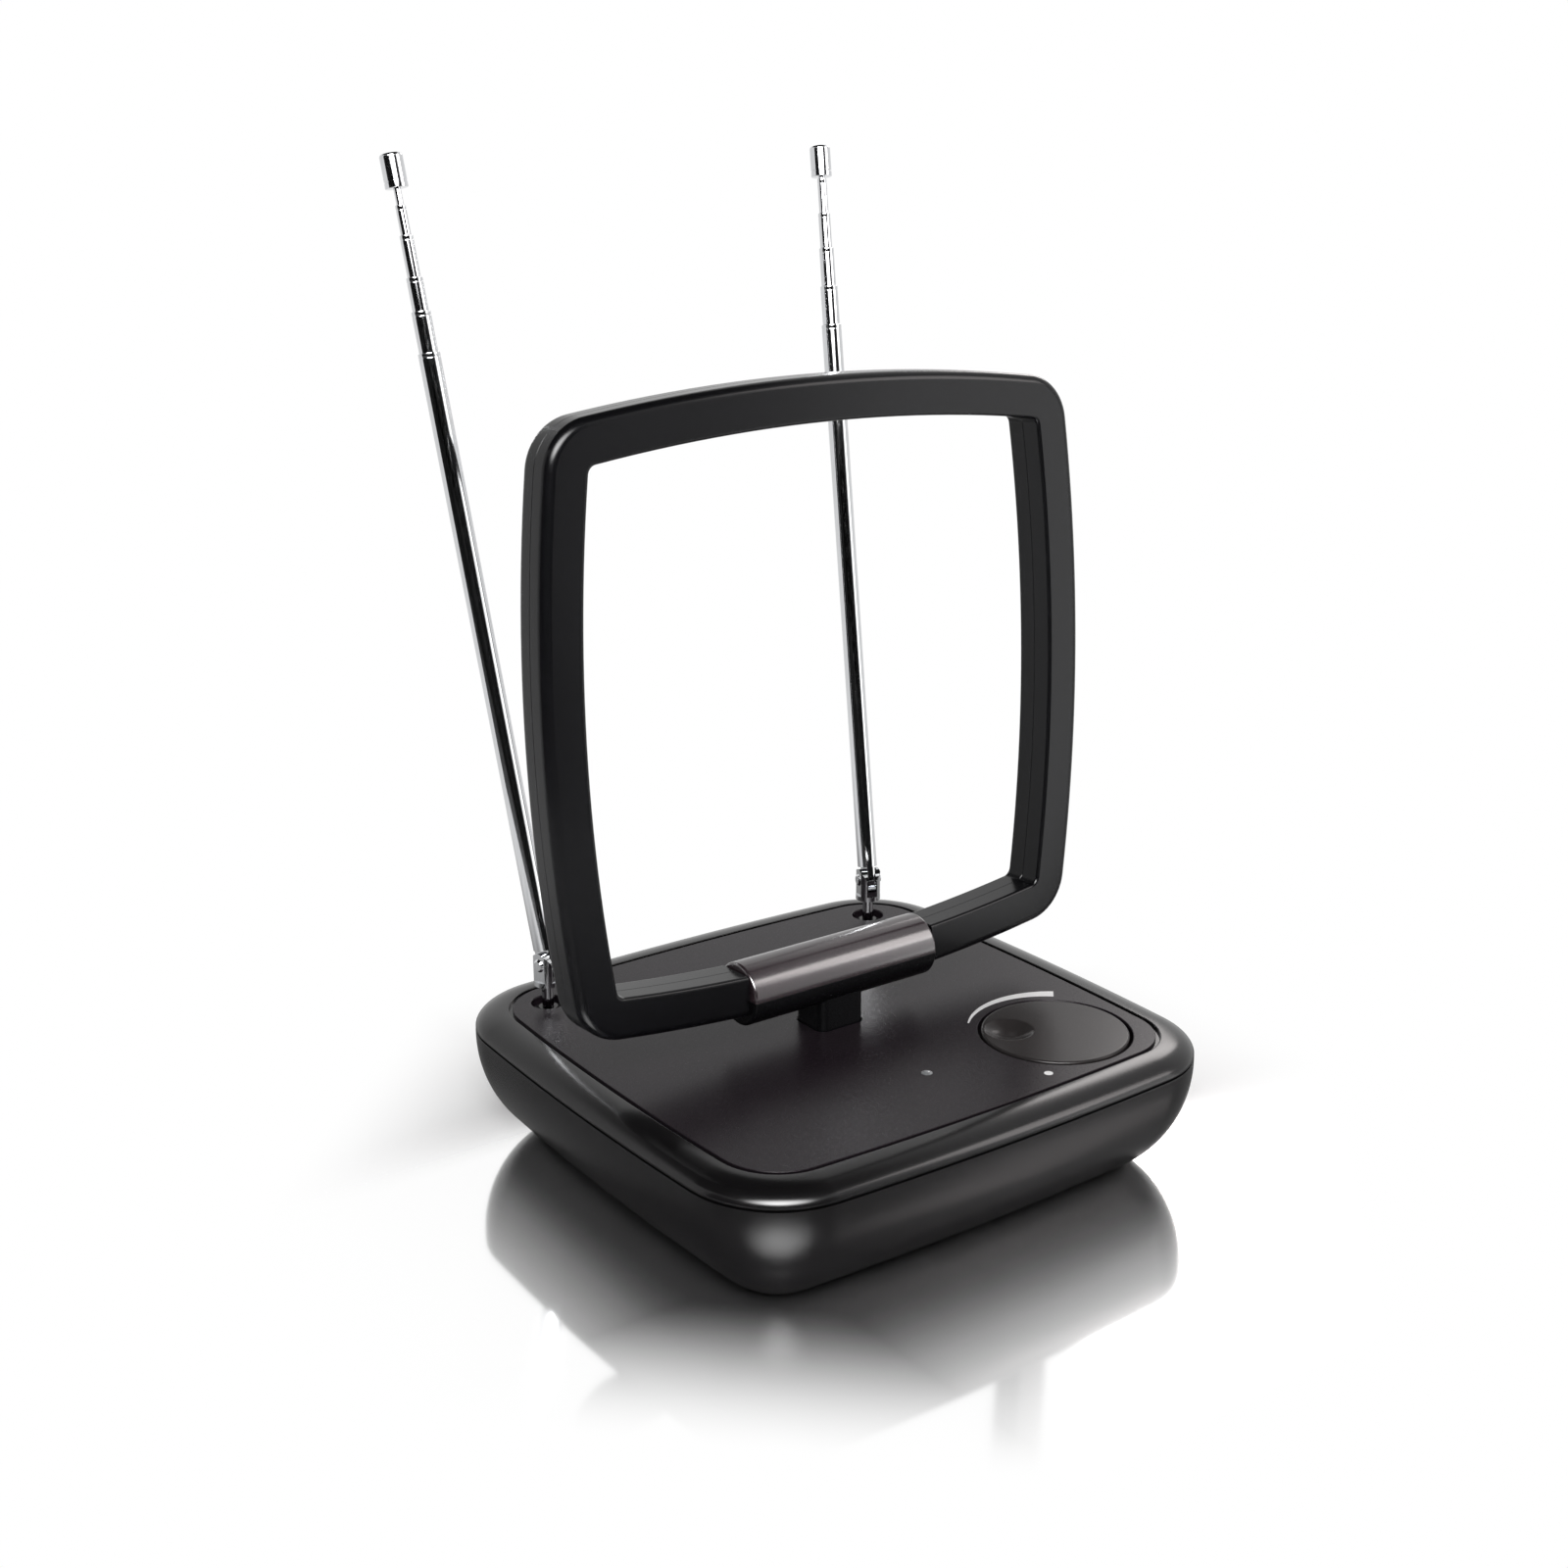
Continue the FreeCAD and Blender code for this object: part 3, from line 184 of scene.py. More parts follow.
def draw(name, points):
    """Draw a chain of edges through points in millimetres; the piece stays in edit mode."""
    pick_nothing()
    bpy.ops.mesh.primitive_plane_add(size=MM)
    piece = bpy.context.object
    piece.name = name
    piece.data.name = name
    bpy.ops.object.mode_set(mode="EDIT")
    bpy.ops.mesh.merge(type="CENTER")
    places = [Vector(p) * MM for p in points]
    bpy.ops.transform.translate(value=places[0])
    for near, far in zip(places, places[1:]):
        bpy.ops.mesh.extrude_vertices_move(TRANSFORM_OT_translate={"value": far - near})
    bpy.ops.mesh.select_all(action="SELECT")
    return piece


def close_up(piece, fill=True):
    """Merge doubles, fill open borders, point faces outwards and leave edit mode."""
    bpy.ops.mesh.select_all(action="SELECT")
    bpy.ops.mesh.remove_doubles(threshold=WELD)
    if fill:
        bpy.ops.mesh.fill_holes(sides=0)
    bpy.ops.mesh.select_all(action="SELECT")
    bpy.ops.mesh.normals_make_consistent()
    bpy.ops.object.mode_set(mode="OBJECT")
    return piece


def arc(centre, radius, start, end, steps, stretch=1.0):
    """Points of a circular arc in a section, in degrees; stretch scales its height."""
    points = []
    for step in range(steps + 1):
        turn = math.radians(start + (end - start) * step / steps)
        points.append((centre[0] + radius * math.cos(turn), centre[1] + radius * stretch * math.sin(turn)))
    return points


def lathe(name, section, place=(0, 0, 0), steps=64, axis=UP, turn=360.0):
    """Turn a section of (radius, height) points about an upright line or another axis through a place."""
    origin = Vector(place)
    axis = Vector(axis).normalized()
    side = RIGHT if abs(axis.x) < 0.5 else BACK
    out = (side - axis * side.dot(axis)).normalized()
    piece = draw(name, [origin + out * r + axis * h for r, h in section])
    bpy.ops.mesh.spin(steps=steps, angle=-math.radians(turn), center=origin * MM, axis=axis)
    return close_up(piece)


def bow_radius(half, rise):
    """Radius of an arc with a half width and a rise."""
    return (half**2 + rise**2) / (2 * rise)


def bowed_arcs(half_x, half_y, bow, corner):
    """Centre, radius and angles of eight tangent arcs: four bowed sides and four round corners."""
    end_radius, side_radius = bow_radius(half_x, bow), bow_radius(half_y, bow)
    end_centre = Vector((0, half_y - end_radius, 0))
    side_centre = Vector((half_x - side_radius, 0, 0))
    reach = end_radius - corner
    link = side_centre - end_centre
    along = (reach**2 - (side_radius - corner) ** 2 + link.length**2) / (2 * link.length)
    across = math.sqrt(reach**2 - along**2)
    link.normalize()
    bend = end_centre + link * along + link.cross(UP) * across
    arms = (bend - side_centre, bend - end_centre)
    low, high = (math.degrees(math.atan2(arm.y, arm.x)) for arm in arms)
    half = [
        (side_centre, side_radius, -low, low),
        (bend, corner, low, high),
        (end_centre, end_radius, high, 180 - high),
        (Vector((-bend.x, bend.y, 0)), corner, 180 - high, 180 - low),
    ]
    return half + [(-centre, radius, start + 180, end + 180) for centre, radius, start, end in half]


def sweep(name, section, arcs, side_steps=12, corner_steps=18, fill=True):
    """Carry a section of (outset, height) points round an outline, arc by arc."""
    centre, radius, start, _ = arcs[0]
    out = Vector((math.cos(math.radians(start)), math.sin(math.radians(start)), 0))
    piece = draw(name, [centre + out * (radius + x) + UP * z for x, z in section])
    for index, (centre, radius, start, end) in enumerate(arcs):
        steps = corner_steps if index % 2 else side_steps
        bpy.ops.mesh.spin(steps=steps, angle=-math.radians(end - start), center=centre * MM, axis=UP)
    return close_up(piece, fill)


def slab(name, outline, low, high, lip=0.0):
    """An upright block over an outline of (x, y) points; its top can flare out by a small lip."""
    piece = draw(name, [(x, y, low) for x, y in outline] + [(*outline[0], low)])
    bpy.ops.mesh.remove_doubles(threshold=WELD)
    bpy.ops.mesh.edge_face_add()
    half_x = max(abs(x) for x, _ in outline)
    half_y = max(abs(y) for _, y in outline)
    levels = [(low, high, 0.0)] if not lip else [(low, high - lip, 0.0), (high - lip, high + lip, 2 * lip)]
    for start, end, wider in levels:
        bpy.ops.mesh.extrude_region_move(TRANSFORM_OT_translate={"value": UP * (end - start) * MM})
        if wider:
            bpy.ops.transform.resize(
                value=((half_x + wider) / half_x, (half_y + wider) / half_y, 1), center_override=(0, 0, end * MM))
    return close_up(piece, fill=False)


def disc(radius, low, high):
    """Section of a plain round block."""
    return [(0, low), (radius, low), (radius, high), (0, high)]


def ring(inner, outer, low, high):
    """Section of a plain round wall."""
    return [(inner, low), (outer, low), (outer, high), (inner, high), (inner, low)]


def rectangle(x, y, far_x, far_y):
    """Corners of a rectangle between two opposite ones."""
    return [(x, y), (far_x, y), (far_x, far_y), (x, far_y)]


def box_outline(half_x, half_y, corner, steps=6):
    """Points round a rectangle with round corners, about the origin."""
    points = []
    for sign_x, sign_y, start in ((1, 1, 0), (-1, 1, 90), (-1, -1, 180), (1, -1, 270)):
        points += arc((sign_x * (half_x - corner), sign_y * (half_y - corner)), corner, start, start + 90, steps)
    return points


def soften_edges(piece, test, width):
    """Bevel the edges whose two ends pass a test of their place in millimetres."""
    make_active(piece)
    bpy.ops.object.mode_set(mode="EDIT")
    bpy.ops.mesh.select_mode(type="EDGE")
    bpy.ops.mesh.select_all(action="DESELECT")
    bpy.ops.object.mode_set(mode="OBJECT")
    points = piece.data.vertices
    for edge in piece.data.edges:
        edge.select = all(test(points[index].co / MM) for index in edge.vertices)
    bpy.ops.object.mode_set(mode="EDIT")
    bpy.ops.mesh.bevel(offset=width * MM, segments=2, affect="EDGES")
    bpy.ops.mesh.select_mode(type="VERT")
    bpy.ops.object.mode_set(mode="OBJECT")


def shape_with(piece, tool, operation="DIFFERENCE"):
    """Cut, join or trim a piece with a tool piece, which is then deleted."""
    make_active(piece)
    modifier = piece.modifiers.new("shape", "BOOLEAN")
    modifier.operation = operation
    modifier.solver = "EXACT"
    modifier.object = tool
    bpy.ops.object.modifier_apply(modifier=modifier.name)
    bpy.data.objects.remove(tool, do_unlink=True)


def move(piece, turn, shift):
    """Turn a piece about the origin, shift it in millimetres and apply both to its mesh."""
    make_active(piece)
    piece.matrix_world = Matrix.Translation(Vector(shift) * MM) @ turn
    bpy.ops.object.transform_apply()


def finish_piece(piece, body, node, slot, *materials, angle=35.0):
    """Shade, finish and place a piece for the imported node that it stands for."""
    make_active(piece)
    bpy.ops.object.shade_smooth_by_angle(angle=math.radians(angle))
    modifier = piece.modifiers.new("shading", "WEIGHTED_NORMAL")
    modifier.keep_sharp = True
    bpy.ops.object.modifier_apply(modifier=modifier.name)
    for material in materials:
        piece.data.materials.append(material)
    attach(piece, body)
    if node:
        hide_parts(node)
    pick_nothing()


def assign_faces(piece, test, index):
    """Give a material index to the faces whose middle passes a test."""
    for face in piece.data.polygons:
        if test(face.center / MM, face.normal):
            face.material_index = index


# Finishes

NOISE_LOW, NOISE_HIGH = 0.3, 0.7  # most of a noise lies between these
CLOUD = 60.0
DETAIL = 3.0
GRAIN_HEIGHT = 0.02 * MM
STREAK_HEIGHT = 0.01 * MM


def new_material(name):
    """A material with its node tree and its shader."""
    material = bpy.data.materials.new(name)
    material.use_nodes = True
    tree = material.node_tree
    return material, tree, tree.nodes["Principled BSDF"]


def link_chain(tree, *sockets):
    """Link sockets in pairs: each output to the input after it."""
    for source, target in zip(sockets[::2], sockets[1::2]):
        tree.links.new(source, target)


def calculate(tree, kind, operation, sources):
    """A node of arithmetic on sockets and plain values."""
    node = tree.nodes.new(kind)
    node.operation = operation
    for target, source in zip(node.inputs, sources):
        if isinstance(source, bpy.types.NodeSocket):
            tree.links.new(source, target)
        else:
            target.default_value = source
    return node


def number_step(tree, operation, *sources):
    """One step of arithmetic on numbers in a node tree."""
    return calculate(tree, "ShaderNodeMath", operation, sources).outputs["Value"]


def vector_step(tree, operation, *sources):
    """One step of arithmetic on vectors in a node tree."""
    node = calculate(tree, "ShaderNodeVectorMath", operation, sources)
    return node.outputs["Value" if operation == "DOT_PRODUCT" else "Vector"]


def ranged(tree, value, start, end, low, high, ease="SMOOTHSTEP"):
    """Take a value from one level to another between two places."""
    node = tree.nodes.new("ShaderNodeMapRange")
    node.interpolation_type = ease
    for name, level in (("From Min", start), ("From Max", end), ("To Min", low), ("To Max", high)):
        node.inputs[name].default_value = level
    tree.links.new(value, node.inputs["Value"])
    return node.outputs["Result"]


def own_place(tree):
    """A piece's own coordinates."""
    return tree.nodes.new("ShaderNodeTexCoord").outputs["Object"]


def noise(tree, scale, detail=2.0, stretch=(1, 1, 1)):
    """Noise on the piece's own coordinates, in cycles per metre."""
    mapping = tree.nodes.new("ShaderNodeMapping")
    mapping.inputs["Scale"].default_value = stretch
    texture = tree.nodes.new("ShaderNodeTexNoise")
    texture.inputs["Scale"].default_value = scale
    texture.inputs["Detail"].default_value = detail
    tree.links.new(own_place(tree), mapping.inputs["Vector"])
    tree.links.new(mapping.outputs["Vector"], texture.inputs["Vector"])
    return texture.outputs["Fac"]


def spread(tree, value, low, high):
    """Map a noise value onto a range."""
    return ranged(tree, value, NOISE_LOW, NOISE_HIGH, low, high, "LINEAR")


def shades(tree, value, colour, change):
    """Mix a colour with a slightly darker and lighter shade of itself."""
    ramp = tree.nodes.new("ShaderNodeValToRGB")
    ends = zip(ramp.color_ramp.elements, (NOISE_LOW, NOISE_HIGH), (1 - change, 1 + change))
    for element, place, factor in ends:
        element.position = place
        element.color = (*(min(1, part * factor) for part in colour[:3]), 1)
    tree.links.new(value, ramp.inputs["Fac"])
    return ramp.outputs["Color"]


def bump(tree, shader, height, strength, distance):
    """Fine relief on a finish."""
    node = tree.nodes.new("ShaderNodeBump")
    node.inputs["Strength"].default_value = strength
    node.inputs["Distance"].default_value = distance
    tree.links.new(height, node.inputs["Height"])
    tree.links.new(node.outputs["Normal"], shader.inputs["Normal"])


def moulded(name, colour, rough, grain, relief, change=0.06, gloss=0.28, uneven=0.15):
    """Moulded plastic: faint shade, uneven gloss and the fine grain of the mould."""
    material, tree, shader = new_material(name)
    shader.inputs["Specular IOR Level"].default_value = gloss
    cloud = noise(tree, CLOUD, DETAIL)
    fine = noise(tree, grain, DETAIL)
    tree.links.new(shades(tree, cloud, colour, change), shader.inputs["Base Color"])
    tree.links.new(spread(tree, fine, rough * (1 - uneven), rough * (1 + uneven)), shader.inputs["Roughness"])
    bump(tree, shader, fine, relief, GRAIN_HEIGHT)
    return material


def metal(name, colour, rough, stretch=(1, 1, 1), grain=900.0, relief=0.1):
    """Bare or plated metal with drawn or rolled streaks."""
    material, tree, shader = new_material(name)
    shader.inputs["Metallic"].default_value = 1.0
    streaks = noise(tree, grain, DETAIL, stretch)
    tree.links.new(shades(tree, streaks, colour, 0.05), shader.inputs["Base Color"])
    tree.links.new(spread(tree, streaks, rough * 0.7, rough * 1.3), shader.inputs["Roughness"])
    bump(tree, shader, streaks, relief, STREAK_HEIGHT)
    return material


def paint_socket_shade(material, level, ease=0.4):
    """Paint shade on the part of a metal that stands down in a socket, below a level in millimetres: its base colour
    darkens there as painted shade of the hole.
    """
    tree = material.node_tree
    base = tree.nodes["Principled BSDF"].inputs["Base Color"]
    parts = tree.nodes.new("ShaderNodeSeparateXYZ")
    mix = tree.nodes.new("ShaderNodeMix")
    mix.data_type = "RGBA"
    share, dark, bright = (mix.inputs[index] for index in (0, 6, 7))
    # Colour of the painted shade inside the socket hole
    dark.default_value = tone(26, 25, 25)
    link_chain(
        tree,
        own_place(tree), parts.inputs["Vector"],
        ranged(tree, parts.outputs["Z"], (level - ease) * MM, (level + ease) * MM, 0.0, 1.0), share,
        base.links[0].from_socket, bright,
        mix.outputs[2], base,
    )


def finish_node(name, material):
    """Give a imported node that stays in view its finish."""
    data = NODES[name].data
    for index in range(len(data.materials)):
        data.materials[index] = material


# Base

PANEL_HALF_X, PANEL_HALF_Y = 72.0, 68.2
PANEL_BOW, PANEL_CORNER = 2.6, 17.0
BASE = bowed_arcs(PANEL_HALF_X, PANEL_HALF_Y, PANEL_BOW, PANEL_CORNER)
RIM_WIDTH = RIM_X - PANEL_HALF_X
RIM_FLAT = 1.0
CORE = 12.0
WALL = 2.0
ROOF_Z = TOP_Z - 2.4
INTO_ROOF = ROOF_Z + 0.5
ARC_Z = SEAM_Z - 2.0
FLOOR_THICK = 2.2
TUCK = 16.0
WELL_FLOOR = 33.9
SOCKET_RADIUS = 4.8
BUSH_CUP = (6.45, 8.05, 27.6)
POST_HALF_X, POST_HALF_Y, POST_CORNER = 7.5, 6.25, 2.5
POST_PLAY = 0.2
CASE_SCREWS = ((-60, 12), (60, 12), (-30, -58), (12, -58))
BOSS_RADIUS, PILOT_RADIUS, BOSS_MEET = 4.4, 1.45, 24.0
HEAD_RADIUS, HEAD_SEAT = 2.9, 19.0
BAY_LEFT, BAY_RIGHT, BAY_LOW, BAY_HIGH = 8.0, 52.0, 13.0, 28.0
BAY_END = 100.0
FEET = ("front_left", "front_right", "back_left", "back_right")
FOOT_RADIUS, FOOT_TOP = 7.0, 2.5
LIGHT_RADIUS = 1.5


def beyond_panel(point):
    """True outwards from the floor of the groove."""
    for centre, radius, start, end in BASE:
        arm = Vector((point.x, point.y, 0)) - centre
        angle = (math.degrees(math.atan2(arm.y, arm.x)) - start) % 360
        if angle <= end - start and arm.length - radius > -0.2:
            return True
    return False


def hole_tool(name, place, low, high, radius, lip):
    """A round cutter that leaves a softened mouth at its top."""
    section = [(0, low), (radius, low), (radius, high - lip)]
    section += [(radius + lip - lip * math.cos(a), high - lip + lip * math.sin(a)) for a in (0.4, 0.8, 1.2)]
    section += [(radius + lip, high), (radius + lip, high + 1), (0, high + 1)]
    return lathe(name, section, (place.x, place.y, 0))


def pocket(radius, mouth, deep, lip=0.3):
    """Section of a round hole that is wider by a lip up to its mouth."""
    return [(0, 0), (radius + lip, 0), (radius + lip, mouth), (radius, mouth + lip), (radius, deep)]


class AERIAL_OT_cover(bpy.types.Operator):
    """Model the top cover with its panel, groove, rounded rim and openings"""

    bl_idname = "aerial.cover"
    bl_label = "Top cover"

    def execute(self, context):
        half = sizes().groove_width / (2 * MM)
        bed = TOP_Z - sizes().groove_depth / MM
        soft = sizes().soft_edge / MM
        lip_out = RIM_WIDTH - WALL - 0.15
        lip_in = lip_out - 1.4
        section = [(-CORE, TOP_Z)] + arc((-half - soft, TOP_Z - soft), soft, 90, 0, 4)
        section += [(-half, bed), (half, bed)]
        section += arc((half + soft, TOP_Z - soft), soft, 180, 90, 4)
        oval = RIM_WIDTH - RIM_FLAT
        section += arc((RIM_FLAT, SEAM_Z), oval, 90, 6, 20, (TOP_Z - SEAM_Z) / oval)
        section += [(RIM_WIDTH - 0.05, SEAM_Z + 0.15), (RIM_WIDTH - 0.2, SEAM_Z)]
        section += [(lip_out, SEAM_Z), (lip_out, SEAM_Z - 3.0), (lip_in, SEAM_Z - 3.0), (lip_in, ROOF_Z)]
        section += [(-CORE, ROOF_Z)]
        cover = sweep("top_cover_shell", section, BASE)
        well = DIAL_RADIUS + 0.9
        cup = disc(well + WALL, WELL_FLOOR - WALL, INTO_ROOF)
        shape_with(cover, lathe("dial_cup", cup, (DIAL.x, DIAL.y, 0), 96), "UNION")
        boss = ring(PILOT_RADIUS, BOSS_RADIUS, BOSS_MEET, INTO_ROOF)
        for x, y in CASE_SCREWS:
            shape_with(cover, lathe("boss", boss, (x, y, 0), 32), "UNION")
        for side in SIDES:
            seat = middle(f"{side}_rod_bush")
            cup = ring(*BUSH_CUP, INTO_ROOF)
            shape_with(cover, lathe("bush_cup", cup, (seat.x, seat.y, 0), 48), "UNION")
            shape_with(cover, hole_tool("rod_hole", seat, ROOF_Z - 1, TOP_Z, SOCKET_RADIUS, 0.4))
        shape_with(cover, hole_tool("dial_well", DIAL, WELL_FLOOR, TOP_Z, well, 0.3))
        shape_with(cover, hole_tool("hub_hole", DIAL, 30, WELL_FLOOR, 5.6, 0.2))
        shape_with(cover, hole_tool("light_hole", LIGHT, ROOF_Z - 1, TOP_Z, LIGHT_RADIUS + 0.05, 0.15))
        slot = box_outline(POST_HALF_X + POST_PLAY, POST_HALF_Y + POST_PLAY, POST_CORNER)
        shape_with(cover, slab("post_slot", slot, ROOF_Z - 1, TOP_Z, lip=0.25))
        panel = moulded("satin_panel", colours().panel, 0.3, 3200.0, 0.12, gloss=0.13)
        rim = moulded("gloss_rim", colours().rim, 0.2, 2600.0, 0.008, uneven=0.04)
        finish_piece(cover, "base", "top_cover", "cover", panel, rim)
        assign_faces(cover, lambda place, _: beyond_panel(place), 1)
        return {"FINISHED"}


class AERIAL_OT_bowl(bpy.types.Operator):
    """Model the bowl of the base with its socket bay, screw holes and foot seats"""

    bl_idname = "aerial.bowl"
    bl_label = "Bowl"

    def execute(self, context):
        def meets(radius, level):
            """Angle at which an arc of the wall meets a level."""
            return -math.degrees(math.asin((ARC_Z - level) / radius))

        outer = bow_radius(ARC_Z - FLOOR_UNDER, TUCK)
        inner = outer - WALL
        centre = (RIM_WIDTH - outer, ARC_Z)
        floor = FLOOR_UNDER + FLOOR_THICK
        toe = RIM_WIDTH - TUCK
        section = [(-CORE, FLOOR_UNDER), (toe - 0.7, FLOOR_UNDER), (toe - 0.1, FLOOR_UNDER + 0.09)]
        section += arc(centre, outer, meets(outer, FLOOR_UNDER) + 1.0, 0, 24)
        section += [(RIM_WIDTH, SEAM_Z - 0.7), (RIM_WIDTH - 0.05, SEAM_Z - 0.57), (RIM_WIDTH - 0.2, SEAM_Z - 0.5)]
        section += [(RIM_WIDTH - 1.1, SEAM_Z - 0.5), (RIM_WIDTH - 1.1, SEAM_Z), (RIM_WIDTH - WALL, SEAM_Z)]
        section += arc(centre, inner, 0, meets(inner, floor), 16) + [(-CORE, floor)]
        bowl = sweep("bowl_shell", section, BASE)
        mid = (outer + inner) / 2
        core = [(-CORE, floor)] + arc(centre, mid, meets(mid, floor), 0, 16)
        core += [(RIM_WIDTH - WALL / 2, SEAM_Z - 0.5), (-CORE, SEAM_Z - 0.5)]
        walls = rectangle(BAY_RIGHT + WALL, BAY_END, BAY_LEFT - WALL, BAY_Y - WALL)
        bay = slab("bay", walls, BAY_LOW - WALL, BAY_HIGH + WALL)
        shape_with(bay, sweep("bowl_core", core, BASE), "INTERSECT")
        shape_with(bowl, bay, "UNION")
        opening = [(BAY_RIGHT, BAY_END), (BAY_LEFT, BAY_END)]
        opening += arc((BAY_LEFT + 1, BAY_Y + 1), 1, 180, 270, 4) + arc((BAY_RIGHT - 1, BAY_Y + 1), 1, 270, 360, 4)
        shape_with(bowl, slab("bay_opening", opening, BAY_LOW, BAY_HIGH))
        for name, radius in (("coax_socket", 5.1), ("power_jack", 4.4)):
            hole = [(0, BAY_Y - 3), (radius, BAY_Y - 3), (radius, BAY_Y - 0.2), (radius + 0.2, BAY_Y)]
            hole += [(radius + 0.2, BAY_Y + 1), (0, BAY_Y + 1)]
            shape_with(bowl, lathe("socket_hole", hole, (middle(name).x, 0, SOCKET_Z), 48, BACK))
        boss = disc(BOSS_RADIUS, floor - 1, BOSS_MEET)
        hole = pocket(HEAD_RADIUS, FLOOR_UNDER, HEAD_SEAT)
        hole += [(PILOT_RADIUS, HEAD_SEAT), (PILOT_RADIUS, BOSS_MEET + 1), (0, BOSS_MEET + 1)]
        for x, y in CASE_SCREWS:
            shape_with(bowl, lathe("boss", boss, (x, y, 0), 32), "UNION")
            shape_with(bowl, lathe("screw_hole", hole, (x, y, 0), 32))
        seat = pocket(FOOT_RADIUS, FLOOR_UNDER, FOOT_TOP) + [(0, FOOT_TOP)]
        for name in FEET:
            place = middle(f"foot_{name}")
            shape_with(bowl, lathe("foot_seat", seat, (place.x, place.y, 0), 48))
        finish = moulded("gloss_bowl", colours().rim, 0.26, 2600.0, 0.005, uneven=0.04)
        finish_piece(bowl, "base", "bottom_housing", "bowl", finish)
        return {"FINISHED"}


class AERIAL_OT_dial(bpy.types.Operator):
    """Model the gain dial with its finger dimple"""

    bl_idname = "aerial.dial"
    bl_label = "Gain dial"

    def execute(self, context):
        high = top("gain_dial")
        under = high - 4.0
        hub = bottom("gain_dial")
        edge, bore, hub_radius = 0.7, 3.05, 5.0
        section = [(bore, under), (bore, hub + 0.3), (bore + 0.3, hub), (hub_radius - 0.3, hub)]
        section += [(hub_radius, hub + 0.3), (hub_radius, under)]
        section += [(DIAL_RADIUS - 0.3, under), (DIAL_RADIUS, under + 0.3)]
        section += arc((DIAL_RADIUS - edge, high - edge), edge, 0, 90, 6)
        section += [(0, high), (0, under), (bore, under)]
        dial = lathe("gain_dial_disc", section, (DIAL.x, DIAL.y, 0), 128)
        depth = sizes().dimple_depth / MM
        wide, round_over = 6.8, 1.2
        ball = bow_radius(wide, depth)
        lift = ball - depth
        lip = math.sqrt((ball + round_over) ** 2 - (lift + round_over) ** 2)
        tilt = math.degrees(math.asin(lip / (ball + round_over)))
        dish = [(r, z + high) for r, z in arc((0, lift), ball, -90, -90 + tilt, 14)]
        dish += [(r, z + high) for r, z in arc((lip, -round_over), round_over, 90 + tilt, 90, 5)]
        dish += [(lip, high + 2), (0, high + 2)]
        turn, reached = math.radians(141.0), 12.6
        place = (DIAL.x + reached * math.cos(turn), DIAL.y + reached * math.sin(turn), 0)
        shape_with(dial, lathe("dimple", dish, place, 64))
        finish = moulded("satin_dial", colours().dial, 0.24, 3000.0, 0.06, gloss=0.12)
        finish_piece(dial, "dial", "gain_dial", "dial", finish)
        return {"FINISHED"}


class AERIAL_OT_light(bpy.types.Operator):
    """Model the light pipe with its domed end"""

    bl_idname = "aerial.light"
    bl_label = "Power light"

    def execute(self, context):
        low, high = bottom("power_light"), top("power_light")
        dome, collar = 0.4, 2.4
        ball = bow_radius(LIGHT_RADIUS, dome)
        tilt = math.degrees(math.asin(LIGHT_RADIUS / ball))
        section = [(0, low), (LIGHT_RADIUS, low), (LIGHT_RADIUS, ROOF_Z - 0.9), (collar, ROOF_Z - 0.9)]
        section += [(collar, ROOF_Z), (LIGHT_RADIUS, ROOF_Z)]
        section += arc((0, high - ball), ball, 90 - tilt, 90, 8)
        lens = lathe("light_pipe", section, (LIGHT.x, LIGHT.y, 0), 32)
        material, tree, shader = new_material("light_lens")
        tree.links.new(shades(tree, noise(tree, 1500.0), tone(128, 130, 132), 0.06), shader.inputs["Base Color"])
        shader.inputs["Roughness"].default_value = 0.08
        shader.inputs["Coat Weight"].default_value = 0.6
        finish_piece(lens, "base", "power_light", "light", material)
        return {"FINISHED"}


class AERIAL_OT_marks(bpy.types.Operator):
    """Print the growing arc and the dot beside the gain dial"""

    bl_idname = "aerial.marks"
    bl_label = "Printed marks"

    def execute(self, context):
        material, tree, shader = new_material("white_ink")
        speck = noise(tree, 4000.0, DETAIL)
        tree.links.new(shades(tree, speck, colours().marks, 0.05), shader.inputs["Base Color"])
        tree.links.new(spread(tree, speck, 0.4, 0.6), shader.inputs["Roughness"])
        wedge = arc((DIAL.x + 2.4, DIAL.y), 25.8, 52, 135, 48) + arc((DIAL.x, DIAL.y), 23.7, 131, 48, 48)
        dot = arc((25.6, -61.3), 1.2, 0, 348, 29)
        for name, outline in (("gain_wedge", wedge), ("gain_dot", dot)):
            mark = slab(name, outline, TOP_Z, TOP_Z + sizes().print_thick / MM)
            finish_piece(mark, "base", None, "cover", material)
        return {"FINISHED"}


class AERIAL_OT_feet(bpy.types.Operator):
    """Model one ribbed rubber foot and copy it to the four seats"""

    bl_idname = "aerial.feet"
    bl_label = "Feet"

    def execute(self, context):
        dip = 0.35
        section = [(0, dip)]
        for start in (1.2, 3.2):
            section += [(start, dip), (start + 0.3, 0), (start + 1.1, 0), (start + 1.4, dip)]
        section += [(5.2, dip), (5.5, 0), (FOOT_RADIUS - 0.6, 0), (FOOT_RADIUS - 0.2, 0.15), (FOOT_RADIUS, 0.6)]
        section += [(FOOT_RADIUS, FOOT_TOP), (0, FOOT_TOP)]
        rubber = moulded("foot_rubber", tone(34, 34, 35), 0.75, 1800.0, 0.4)
        pattern = lathe("foot_pattern", section, steps=48)
        for name in FEET:
            make_active(pattern)
            bpy.ops.object.duplicate()
            foot = bpy.context.object
            foot.name = f"ribbed_foot_{name}"
            place = middle(f"foot_{name}")
            move(foot, Matrix.Identity(4), (place.x, place.y, 0))
            finish_piece(foot, "base", f"foot_{name}", "rubber", rubber)
        bpy.data.objects.remove(pattern, do_unlink=True)
        return {"FINISHED"}


# Hinge and loop

BORE = 5.1


